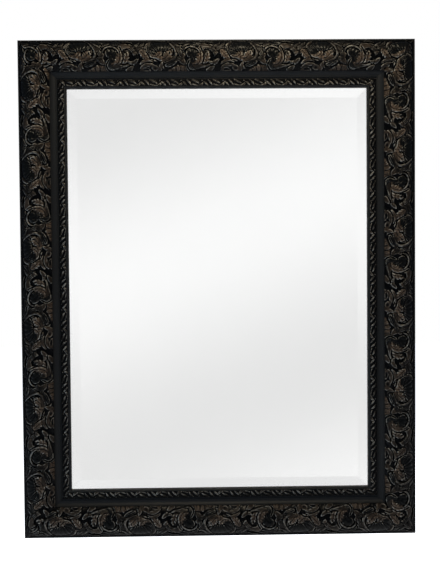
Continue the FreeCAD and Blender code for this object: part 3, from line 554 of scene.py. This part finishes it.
class Band:
    """A carved band: the sheet that it is drawn on, its repeat along a side and the pitch of its mesh.

    Each kind of band gives its name, the node that it stands for, its edges, the share of a repeat at
    which each side starts, how far crests are told from their surroundings on the sheet, its columns for
    each pitch, the share of its width over which wash and rub darken towards the outer edge as painted
    shade, and section, which gives its underside, ground and lift at a share of its width.
    """

    def __init__(self, sheet, repeat, pitch):
        self.sheet = sheet
        self.repeat = repeat
        self.pitch = pitch
        self.columns = round((self.inner - self.outer) / pitch * self.columns_per_pitch)
        near = blurred(sheet.height, round(self.crest_reach / sheet.step))
        # Painted shade: the hollow mask darkens where the surface lies under its blurred surroundings and
        # where the ground is sunk
        sunk = np.clip(sheet.height, -1, 0)
        self.hollow = np.clip((near - sheet.height) * RELIEF_CONTRAST - sunk * SUNK_CONTRAST, 0, 1)
        # The crest mask pales the crests with rub and painted highlight
        self.crest = np.clip((sheet.height - near) * RELIEF_CONTRAST, 0, 1)

    def edge_shading(self, share):
        """How much of the pale rub and brown wash is left at a share of the band's width: less towards the
        outer edge, as painted shade.
        """
        return LEAST_EDGE_LIGHT + (1 - LEAST_EDGE_LIGHT) * smooth_step((share - self.shaded_edge_share) / self.shaded_edge_share)

    def heights(self, share, place, on_top):
        """Heights out from the wood's back face: of the carving on top, and of the underside."""
        seat, ground, lift = self.section(share)
        fade = smooth_step(np.minimum(share, 1 - share) * self.sheet.width / BAND_EDGE_WIDTH)
        relief = sample(self.sheet.height, self.sheet, place, share * self.sheet.width)
        top = ground + lift * fade * relief
        return np.where(on_top, np.maximum(top, seat + LEAST_THICKNESS), seat)

    def masks(self, share, place, on_top):
        """The masks that the finish reads: wash, painted shade in the hollows and crest, with none on the
        underside.
        """
        across = share * self.sheet.width
        fields = {"wash": self.sheet.wash, "hollow": self.hollow, "crest": self.crest}
        values = {name: sample(field, self.sheet, place, across) for name, field in fields.items()}
        # Wash and rub are darkened towards the outer edge as painted shade
        values["wash"] = values["wash"] * self.edge_shading(share)
        values["crest"] = values["crest"] * self.edge_shading(share)
        return {name: np.where(on_top, value, 0.0) for name, value in values.items()}


class ScrollBand(Band):
    """The wide arched band."""

    name = "carved_scrolls"
    node = "scroll_ornament"
    outer = SCROLL_OUTER
    inner = SCROLL_INNER
    start_shares = {"top": 0.0, "right": 0.382, "bottom": 0.287, "left": 0.125}
    crest_reach = 2.2
    columns_per_pitch = 0.9
    shaded_edge_share = 0.08

    def section(self, share):
        width = self.inner - self.outer
        seat = SCROLL_SEAT_OUTER + (SCROLL_SEAT_INNER - SCROLL_SEAT_OUTER) * share
        seat = seat + arc_height(share, SCROLL_SEAT_RISE, width) + SEAT_CLEARANCE
        ground = SCROLL_GROUND_OUTER + (SCROLL_GROUND_INNER - SCROLL_GROUND_OUTER) * share
        ground = ground + arc_height(share, SCROLL_GROUND_RISE, width)
        most = SCROLL_CROWN - (SCROLL_GROUND_OUTER + SCROLL_GROUND_INNER) / 2 - SCROLL_GROUND_RISE
        arch = np.sqrt(np.clip(1 - (2 * share - 1) ** 2, 0, 1))
        lift = SCROLL_EDGE_LIFT + (most * SCROLL_LIFT_SHARE - SCROLL_EDGE_LIFT) * arch
        return seat, ground, lift


class SightBand(Band):
    """The narrow, nearly flat band at the sight edge."""

    name = "carved_sight"
    node = "sight_ornament"
    outer = SIGHT_OUTER
    inner = SIGHT_INNER
    start_shares = {"top": 0.0, "right": 0.5, "bottom": 0.25, "left": 0.75}
    crest_reach = 2.0
    columns_per_pitch = 1.0
    shaded_edge_share = 0.25

    def section(self, share):
        seat = np.full(share.shape, SIGHT_SEAT + SEAT_CLEARANCE)
        ground = SIGHT_GROUND + 4 * SIGHT_GROUND_RISE * share * (1 - share)
        growth = SIGHT_EDGE_LIFT_SHARE + (1 - SIGHT_EDGE_LIFT_SHARE) * smooth_step(share * 2)
        lift = (SIGHT_CROWN - SIGHT_GROUND - SIGHT_GROUND_RISE) * growth
        return seat, ground, lift


def side_length(side):
    """Length of the frame along a side."""
    return 2 * (HALF_WIDTH if side in ("top", "bottom") else HALF_HEIGHT)


def side_places(side, along, inwards, height):
    """Places on the frame: along each side clockwise, in from its edge, out from the wood's back face."""
    front = WOOD_BACK - height
    if side == "top":
        return np.stack([along - HALF_WIDTH, front, HALF_HEIGHT - inwards], -1)
    if side == "right":
        return np.stack([HALF_WIDTH - inwards, front, HALF_HEIGHT - along], -1)
    if side == "bottom":
        return np.stack([HALF_WIDTH - along, front, inwards - HALF_HEIGHT], -1)
    return np.stack([inwards - HALF_WIDTH, front, along - HALF_HEIGHT], -1)


def round_the_tube(turn, loop, columns):
    """Whether each step round a band's tube is on its top, and its share of the band's width.

    The top goes from the outer edge to the inner one, the underside comes back, and the last step closes
    the tube on the first."""
    on_top = (turn <= columns) | (turn == loop)
    coming_back = (columns + 1 + UNDERSIDE_STEPS - turn) / UNDERSIDE_STEPS
    share = np.where(on_top, turn / columns, coming_back)
    return on_top, np.where(turn == loop, 0.0, share)


def carve(band, side):
    """Carve a band along one side: a closed tube, mitred at both ends."""
    length = side_length(side)
    rows = round((length - 2 * band.outer) / band.pitch)
    loop = band.columns + UNDERSIDE_STEPS + 2
    bm = bmesh.new()
    bmesh.ops.create_grid(bm, x_segments=rows, y_segments=loop, size=1)
    grid = np.array([vert.co for vert in bm.verts])
    end_share = (grid[:, 0] + 1) / 2
    on_top, share = round_the_tube(np.round((grid[:, 1] + 1) / 2 * loop), loop, band.columns)
    inwards = band.outer + (band.inner - band.outer) * share
    along = inwards + (length - 2 * inwards) * end_share
    place = (along / band.repeat + band.start_shares[side]) * band.sheet.length
    places = side_places(side, along, inwards, band.heights(share, place, on_top))
    for vert, position in zip(bm.verts, places):
        vert.co = position
    for name, values in band.masks(share, place, on_top).items():
        layer = bm.verts.layers.float.new(name)
        for vert, value in zip(bm.verts, values):
            vert[layer] = value
    bmesh.ops.remove_doubles(bm, verts=bm.verts, dist=MERGE_DISTANCE)
    bmesh.ops.holes_fill(bm, edges=[edge for edge in bm.edges if edge.is_boundary], sides=0)
    bmesh.ops.recalc_face_normals(bm, faces=bm.faces)
    piece = piece_from(bm, f"{band.name}_{side}")
    piece.data.shade_smooth()
    piece.data.set_sharp_from_angle(angle=CREASE_ANGLE)
    return piece


def piece_from(bm, name):
    """Turn a finished bmesh into an object of the scene."""
    mesh = bpy.data.meshes.new(name)
    bm.to_mesh(mesh)
    bm.free()
    piece = bpy.data.objects.new(name, mesh)
    bpy.context.scene.collection.objects.link(piece)
    return piece


def bevelled_plate():
    """The glass plate: ground edges, a wide shallow bevel all round, a flat field and a flat back."""
    low, high = (Vector(corner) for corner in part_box("mirror_glass"))
    middle = (low + high) / 2
    size = high - low
    bm = bmesh.new()
    bmesh.ops.create_cube(bm, size=1)
    bmesh.ops.scale(bm, verts=bm.verts, vec=(size.x, size.y - GLASS_AIR, size.z))
    bmesh.ops.translate(bm, verts=bm.verts, vec=middle - Vector((0, GLASS_AIR / 2, 0)))
    front = min(bm.faces, key=lambda face: face.calc_center_median().y)
    bmesh.ops.inset_region(bm, faces=[front], thickness=GLASS_BEVEL_WIDTH, use_even_offset=True)
    rim = [vert for vert in bm.verts if vert.co.y < middle.y and vert not in front.verts[:]]
    bmesh.ops.translate(bm, verts=rim, vec=(0, GLASS_BEVEL_DROP, 0))
    bm.normal_update()
    arrises = [edge for edge in bm.edges if edge.calc_face_angle(0) > GLASS_ARRIS_ANGLE]
    bmesh.ops.bevel(bm, geom=arrises, offset=GLASS_ARRIS, offset_type="OFFSET",
                    affect="EDGES", segments=1, profile=0.5, material=-1)
    return piece_from(bm, "bevelled_plate")


# Nodes and groups that the materials share


def new_material(name):
    """A material with its shader, ready for nodes."""
    material = bpy.data.materials.new(name)
    material.use_nodes = True
    return material, material.node_tree, material.node_tree.nodes["Principled BSDF"]


def add(tree, kind, inputs=(), **own):
    """Place a node, set its own values, then each input to a value or to another node's output."""
    node = tree.nodes.new(kind)
    for name, value in own.items():
        setattr(node, name, value)
    for name, value in dict(inputs).items():
        if isinstance(value, bpy.types.NodeSocket):
            tree.links.new(value, node.inputs[name])
        else:
            node.inputs[name].default_value = value
    return node


def colour(values):
    """A tone with the alpha that sockets ask for."""
    return (*values, 1.0)


def mix(tree, factor, first, second):
    """A mix of two colours, as an output."""
    return add(tree, "ShaderNodeMix", {0: factor, 6: first, 7: second}, data_type="RGBA").outputs[2]


def between(tree, factor, tones):
    """A colour between a pair of tones, as an output."""
    return mix(tree, factor, colour(tones[0]), colour(tones[1]))


def spread(tree, value, low, high, to_low=0.0, to_high=1.0):
    """A value taken from one range to another and held inside it."""
    inputs = {0: value, 1: low, 2: high, 3: to_low, 4: to_high}
    return add(tree, "ShaderNodeMapRange", inputs).outputs[0]


def maths(tree, operation, first, second=0.0):
    """The result of one sum, as an output."""
    return add(tree, "ShaderNodeMath", {0: first, 1: second}, operation=operation).outputs[0]


def times(tree, first, second):
    """The product of two values, as an output."""
    return maths(tree, "MULTIPLY", first, second)


def noise(tree, place, scale, detail, roughness=0.5):
    """Cloudy noise, as an output."""
    inputs = {"Vector": place, "Scale": scale, "Detail": detail, "Roughness": roughness}
    return add(tree, "ShaderNodeTexNoise", inputs).outputs["Fac"]


def object_place(tree):
    """The place on the object itself, which no pose moves."""
    return add(tree, "ShaderNodeTexCoord").outputs["Object"]


def attribute(tree, name):
    """One of the masks that a carved mesh keeps."""
    return add(tree, "ShaderNodeAttribute", attribute_name=name).outputs["Fac"]


def bump(tree, shader, height, strength, distance):
    """Roughen a shader's surface by a height."""
    node = add(tree, "ShaderNodeBump", {"Height": height, "Strength": strength, "Distance": distance})
    tree.links.new(node.outputs["Normal"], shader.inputs["Normal"])


def surface_group():
    """Fine grain, slow mottling and round specks that several finishes share."""
    name = "surface_grain"
    if name in bpy.data.node_groups:
        return bpy.data.node_groups[name]
    group = bpy.data.node_groups.new(name, "ShaderNodeTree")
    for label, default in (("Grain Scale", 900.0), ("Mottle Scale", 40.0)):
        socket = group.interface.new_socket(name=label, in_out="INPUT", socket_type="NodeSocketFloat")
        socket.default_value = default
    for label in ("Grain", "Mottle", "Speck"):
        group.interface.new_socket(name=label, in_out="OUTPUT", socket_type="NodeSocketFloat")
    scales = group.nodes.new("NodeGroupInput").outputs
    target = group.nodes.new("NodeGroupOutput").inputs
    place = object_place(group)
    cells = add(group, "ShaderNodeTexVoronoi", {"Vector": place, "Scale": scales["Grain Scale"]})
    speck = spread(group, cells.outputs["Distance"], 0.0, 0.35, 1.0, 0.0)
    group.links.new(noise(group, place, scales["Grain Scale"], 4.0, 0.6), target["Grain"])
    group.links.new(noise(group, place, scales["Mottle Scale"], 5.0, 0.55), target["Mottle"])
    group.links.new(speck, target["Speck"])
    return group


def grain_of(tree, grain, mottle):
    """The shared grain at this finish's own scales."""
    node = tree.nodes.new("ShaderNodeGroup")
    node.node_tree = surface_group()
    node.inputs["Grain Scale"].default_value = grain
    node.inputs["Mottle Scale"].default_value = mottle
    return node.outputs


# Materials


def carved_bronze():
    """Dark bronzed carving: painted shade in the hollows, brown wash on the leaves, and a pale rub on the
    crests that is also a painted highlight.
    """
    material, tree, shader = new_material("bronzed_carving")
    colours = bpy.context.scene.mirror_colours
    grain = grain_of(tree, grain=1400.0, mottle=55.0)
    fleck = noise(tree, object_place(tree), 190.0, 3.0)
    brown = attribute(tree, "wash")
    # the wash thins out in patches and flecks
    patchy = spread(tree, grain["Mottle"], 0.32, 0.6, 0.5, 1.15)
    flecked = spread(tree, fleck, 0.38, 0.58, 0.5, 1.1)
    wash = times(tree, brown, times(tree, patchy, flecked))
    # the pale rub, which is also a painted highlight, catches in the same flecks, and most on the leaves
    # that are washed
    rub_highlight_amount = spread(tree, fleck, 0.38, 0.6, 0.12, 1.1)
    rub_highlight_amount = times(tree, rub_highlight_amount, spread(tree, brown, 0.1, 0.9, 0.62, 1.0))
    crest = times(tree, spread(tree, attribute(tree, "crest"), 0.14, 0.46), rub_highlight_amount)
    # painted shade: the hollows are darkened to near black
    hollow = spread(tree, attribute(tree, "hollow"), 0.0, 0.18)
    base = mix(tree, wash, colour(colours.bronze), colour(colours.wash))
    # pale rub and painted highlight on the crests
    base = mix(tree, crest, base, colour(colours.rub_and_highlight))
    base = mix(tree, hollow, base, colour(PAINTED_SHADE_BLACK))
    tree.links.new(base, shader.inputs["Base Color"])
    tree.links.new(spread(tree, wash, 0.0, 1.0, 0.27, 0.42), shader.inputs["Roughness"])
    shader.inputs["Specular IOR Level"].default_value = 0.1
    bump(tree, shader, grain["Grain"], strength=0.25, distance=0.15 * MM)
    return material


def dark_paint(name, fibre_scale):
    """Satin dark paint on a length of moulding, and bare wood with a little overspray behind."""
    material, tree, shader = new_material(name)
    paint = bpy.context.scene.mirror_colours.paint
    grain = grain_of(tree, grain=700.0, mottle=14.0)
    face = add(tree, "ShaderNodeNewGeometry").outputs["Normal"]
    facing_back = add(tree, "ShaderNodeSeparateXYZ", {0: face}).outputs["Y"]
    unsprayed = spread(tree, grain["Mottle"], 0.42, 0.6, 0.75, 1.0)
    bare = times(tree, spread(tree, facing_back, 0.9, 0.97), unsprayed)
    place = add(tree, "ShaderNodeMapping", {"Vector": object_place(tree), "Scale": fibre_scale})
    wood = between(tree, noise(tree, place.outputs[0], 4.0, 6.0), BARE_WOOD_TONES)
    painted = between(tree, grain["Mottle"], (paint, [value * PAINT_MOTTLE for value in paint]))
    tree.links.new(mix(tree, bare, painted, wood), shader.inputs["Base Color"])
    tree.links.new(spread(tree, bare, 0.0, 1.0, 0.48, 0.75), shader.inputs["Roughness"])
    shader.inputs["Specular IOR Level"].default_value = 0.2
    bump(tree, shader, grain["Grain"], strength=0.12, distance=0.1 * MM)
    return material


def clear_glass():
    """Clear float glass with hardly any tint."""
    material, _, shader = new_material("clear_glass")
    shader.inputs["Base Color"].default_value = colour(GLASS_TINT)
    shader.inputs["Transmission Weight"].default_value = 1.0
    shader.inputs["IOR"].default_value = GLASS_IOR
    shader.inputs["Roughness"].default_value = 0.0
    return material


def silver():
    """The polished silver coat behind the glass, with a hint of cloud."""
    material, tree, shader = new_material("silver_coat")
    grain = grain_of(tree, grain=500.0, mottle=9.0)
    tree.links.new(between(tree, grain["Mottle"], SILVER_TONES), shader.inputs["Base Color"])
    shader.inputs["Metallic"].default_value = 1.0
    shader.inputs["Roughness"].default_value = 0.0
    return material


def metal(name, tint, roughness):
    """Plated or bare metal with a slight cloudy bloom."""
    material, tree, shader = new_material(name)
    grain = grain_of(tree, grain=1800.0, mottle=60.0)
    bloom = spread(tree, grain["Mottle"], 0.3, 0.7)
    pale = [min(value * METAL_BLOOM, 1.0) for value in tint]
    rough = spread(tree, grain["Mottle"], 0.3, 0.7, roughness * 0.85, roughness * 1.25)
    tree.links.new(between(tree, bloom, (tint, pale)), shader.inputs["Base Color"])
    tree.links.new(rough, shader.inputs["Roughness"])
    shader.inputs["Metallic"].default_value = 1.0
    bump(tree, shader, grain["Grain"], strength=0.15, distance=0.05 * MM)
    return material


def matt(name, tones, roughness, grain, mottle, depth):
    """A matt, grainy stuff such as rubber, foam or felt."""
    material, tree, shader = new_material(name)
    surface = grain_of(tree, grain, mottle)
    tone = spread(tree, surface["Grain"], 0.3, 0.7)
    tree.links.new(between(tree, tone, tones), shader.inputs["Base Color"])
    shader.inputs["Roughness"].default_value = roughness
    bump(tree, shader, surface["Speck"], strength=0.4, distance=depth)
    return material


def hardboard():
    """Pressed hardboard: short brown fibres and a faint screen pattern on its rough face."""
    material, tree, shader = new_material("pressed_hardboard")
    place = object_place(tree)
    fibres = spread(tree, noise(tree, place, 420.0, 6.0, 0.75), 0.35, 0.65)
    clouds = spread(tree, noise(tree, place, 7.0, 3.0), 0.35, 0.65, 0.0, 0.35)
    tone = mix(tree, clouds, between(tree, fibres, HARDBOARD_TONES), colour(HARDBOARD_CLOUD))
    tree.links.new(tone, shader.inputs["Base Color"])
    shader.inputs["Roughness"].default_value = 0.72
    wave = {"Vector": place, "Scale": 160.0, "Distortion": 0.6}
    upright = add(tree, "ShaderNodeTexWave", wave, bands_direction="X").outputs["Fac"]
    level = add(tree, "ShaderNodeTexWave", wave, bands_direction="Z").outputs["Fac"]
    bump(tree, shader, times(tree, upright, level), strength=0.5, distance=0.25 * MM)
    return material


def pale_floor():
    """A matt pale floor that glows evenly, by how it is seen."""
    material, tree, shader = new_material("pale_floor")
    shader.inputs["Base Color"].default_value = colour(bpy.context.scene.mirror_colours.floor)
    shader.inputs["Roughness"].default_value = 0.9
    shader.inputs["Emission Strength"].default_value = 1.0
    ray = add(tree, "ShaderNodeLightPath").outputs
    glow = between(tree, ray["Is Singular Ray"], (FLOOR_GLOW, MIRRORED_FLOOR_GLOW))
    glow = mix(tree, ray["Is Camera Ray"], glow, colour(SEEN_FLOOR_GLOW))
    tree.links.new(glow, shader.inputs["Emission Color"])
    return material


# Operators, one for each group of like pieces and one for the stage


def give(material, *names):
    """Put a material on CAD nodes."""
    for name in names:
        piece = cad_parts[name]
        for slot in piece.material_slots:
            slot.material = material


def make_bands(band):
    """Carve a band on all four sides, in the place of its plain solids."""
    material = bpy.data.materials.get("bronzed_carving") or carved_bronze()
    for side in SIDES:
        piece = carve(band, side)
        piece.data.materials.append(material)
        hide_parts(f"{band.node}_{side}")
        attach(piece, "frame")


class MIRROR_OT_scrolls(bpy.types.Operator):
    """Carve the wide band of scrolls and leaves on the four sides"""

    bl_idname = "mirror.scrolls"
    bl_label = "Carve the Scrolls"

    def execute(self, context):
        sizes = context.scene.mirror_sizes
        make_bands(ScrollBand(scroll_sheet(), sizes.scroll_repeat, sizes.scroll_pitch))
        return {"FINISHED"}


class MIRROR_OT_sight_leaves(bpy.types.Operator):
    """Carve the narrow band of leaves at the sight edge"""

    bl_idname = "mirror.sight_leaves"
    bl_label = "Carve the Sight Leaves"

    def execute(self, context):
        sizes = context.scene.mirror_sizes
        make_bands(SightBand(sight_sheet(), sizes.sight_repeat, sizes.sight_pitch))
        return {"FINISHED"}


class MIRROR_OT_paint(bpy.types.Operator):
    """Paint the four lengths of moulding"""

    bl_idname = "mirror.paint"
    bl_label = "Paint the Moulding"

    def execute(self, context):
        along_x = (FIBRES_ALONG, FIBRES_ACROSS, FIBRES_ACROSS)
        along_z = (FIBRES_ACROSS, FIBRES_ACROSS, FIBRES_ALONG)
        give(dark_paint("dark_paint_rails", along_x), "rail_top", "rail_bottom")
        give(dark_paint("dark_paint_stiles", along_z), "stile_right", "stile_left")
        return {"FINISHED"}


class MIRROR_OT_glazing(bpy.types.Operator):
    """Finish the glass, its silver coat and what holds it in the rebate"""

    bl_idname = "mirror.glazing"
    bl_label = "Finish the Glazing"

    def execute(self, context):
        plate = bevelled_plate()
        plate.data.materials.append(clear_glass())
        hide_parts("mirror_glass")
        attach(plate, "frame")
        felt = matt("felt", FELT_TONES, roughness=0.95, grain=2600.0, mottle=90.0, depth=0.2 * MM)
        rubber = matt("block_rubber", BLOCK_RUBBER_TONES,
                      roughness=0.7, grain=1500.0, mottle=60.0, depth=0.05 * MM)
        foam = matt("white_foam", FOAM_TONES, roughness=0.85, grain=1400.0, mottle=50.0, depth=0.15 * MM)
        give(silver(), "silver_backing")
        give(felt, *[f"rebate_tape_{side}" for side in SIDES])
        give(rubber, "glass_edge_blocks")
        give(foam, "foam_sheet")
        give(hardboard(), "backing_board")
        return {"FINISHED"}


class MIRROR_OT_hardware(bpy.types.Operator):
    """Finish the hangers, turn buttons, screws, wedges and wall pads"""

    bl_idname = "mirror.hardware"
    bl_label = "Finish the Hardware"

    def execute(self, context):
        names = list(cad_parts)
        screws = ("turn_button_screws", "hanger_screws")
        plated = ("hanger_strap", "hanger_ring", "turn_button")
        rubber = matt("pad_rubber", PAD_RUBBER_TONES,
                      roughness=0.6, grain=1600.0, mottle=60.0, depth=0.05 * MM)
        give(metal("zinc_plate", ZINC, roughness=0.3),
             *[name for name in names if name.startswith(plated) and name not in screws])
        give(metal("yellow_zinc_screws", YELLOW_ZINC, roughness=0.28), *screws)
        give(metal("wedge_steel", STEEL, roughness=0.4), "corner_wedges")
        give(rubber, *[name for name in names if name.startswith("wall_pad")])
        return {"FINISHED"}


class MIRROR_OT_stage(bpy.types.Operator):
    """Set the pale floor, the soft lights and the camera"""

    bl_idname = "mirror.stage"
    bl_label = "Set the Stage"

    def execute(self, context):
        make_camera()
        make_floor()
        make_world()
        make_lights()
        return {"FINISHED"}


def make_camera():
    """The camera in front of the mirror, with plain colours."""
    scene = bpy.context.scene
    data = bpy.data.cameras.new("camera")
    data.lens = scene.mirror_camera.lens
    data.sensor_width = SENSOR_MM
    camera = bpy.data.objects.new("camera", data)
    camera.location = scene.mirror_camera.place
    camera.rotation_euler = scene.mirror_camera.turn
    scene.collection.objects.link(camera)
    scene.camera = camera
    scene.view_settings.view_transform = "Standard"


def make_floor():
    """A plain pale floor well below the hanging mirror."""
    bm = bmesh.new()
    bmesh.ops.create_grid(bm, x_segments=1, y_segments=1, size=FLOOR_HALF_SIDE)
    middle = (0, FLOOR_FRONT + FLOOR_HALF_SIDE, -HALF_HEIGHT - FLOOR_DROP)
    bmesh.ops.translate(bm, verts=bm.verts, vec=middle)
    floor = piece_from(bm, "floor")
    floor.data.materials.append(pale_floor())


def card_glow(tree, way):
    """The slanted bands of the card, as a grey, from the way that a ray goes."""
    depth = maths(tree, "MAXIMUM", times(tree, way["Y"], -1.0), LEAST_DEPTH)
    across = maths(tree, "DIVIDE", way["X"], depth)
    up = maths(tree, "DIVIDE", way["Z"], depth)
    slant = maths(tree, "SUBTRACT", up, times(tree, across, CARD_SLANT))
    wave = maths(tree, "COSINE", times(tree, slant, 2 * math.pi / CARD_PERIOD))
    glow = spread(tree, wave, -1.0, 1.0, CARD_DARK, CARD_BRIGHT)
    grey = {"Red": glow, "Green": glow, "Blue": glow}
    return add(tree, "ShaderNodeCombineColor", grey).outputs[0]


def make_world():
    """White behind the mirror, a pale card and room in the glass, and a dim room round the frame."""
    world = bpy.data.worlds.new("studio")
    bpy.context.scene.world = world
    world.use_nodes = True
    tree = world.node_tree
    ray_way = add(tree, "ShaderNodeTexCoord").outputs["Generated"]
    way = add(tree, "ShaderNodeSeparateXYZ", {0: ray_way}).outputs
    high = spread(tree, way["Z"], ROOM_LOW_Z, ROOM_HIGH_Z)
    on_card = spread(tree, way["Y"], CARD_WHOLE_Y, CARD_END_Y, 1.0, 0.0)
    mirrored = mix(tree, on_card, between(tree, high, MIRRORED_ROOM_TONES), card_glow(tree, way))
    ray = add(tree, "ShaderNodeLightPath").outputs
    seen = mix(tree, ray["Is Singular Ray"], between(tree, high, ROOM_TONES), mirrored)
    seen = mix(tree, ray["Is Camera Ray"], seen, colour(WHITE))
    tree.links.new(seen, tree.nodes["Background"].inputs["Color"])


def make_lights():
    """Soft boxes that the camera doesn't see, and the silver doesn't show through the glass."""
    for name, place, aim, size, beam, power, tint, glints in LAMPS:
        data = bpy.data.lights.new(name, "AREA")
        data.energy = power
        data.size = size
        data.color = tint
        data.spread = math.radians(beam)
        lamp = bpy.data.objects.new(name, data)
        lamp.location = place
        lamp.rotation_euler = (Vector(aim) - Vector(place)).to_track_quat("-Z", "Y").to_euler()
        lamp.visible_camera = False
        lamp.visible_transmission = False
        lamp.visible_glossy = glints
        bpy.context.scene.collection.objects.link(lamp)


OPERATORS = (MIRROR_OT_stage, MIRROR_OT_scrolls, MIRROR_OT_sight_leaves, MIRROR_OT_paint,
             MIRROR_OT_glazing, MIRROR_OT_hardware)
GROUPS = {"mirror_sizes": MirrorSizes, "mirror_colours": MirrorColours, "mirror_camera": MirrorCamera}


class MIRROR_PT_panel(bpy.types.Panel):
    """Lists the steps that dress the mirror, and the values that they use"""

    bl_idname = "MIRROR_PT_panel"
    bl_label = "Carved Frame Mirror"
    bl_space_type = "VIEW_3D"
    bl_region_type = "UI"
    bl_category = "Mirror"

    def draw(self, context):
        for operator in OPERATORS:
            self.layout.operator(operator.bl_idname)
        for name, group in GROUPS.items():
            for value in group.__annotations__:
                self.layout.prop(getattr(context.scene, name), value)


def register():
    for item in (*GROUPS.values(), *OPERATORS, MIRROR_PT_panel):
        bpy.utils.register_class(item)
    for name, group in GROUPS.items():
        setattr(bpy.types.Scene, name, PointerProperty(type=group))


def unregister():
    for name in GROUPS:
        delattr(bpy.types.Scene, name)
    for item in reversed((*GROUPS.values(), *OPERATORS, MIRROR_PT_panel)):
        bpy.utils.unregister_class(item)


def main():
    """Dress the mirror."""
    register()
    for operator in OPERATORS:
        space, name = operator.bl_idname.split(".")
        getattr(getattr(bpy.ops, space), name)()


if __name__ == "__main__":
    main()
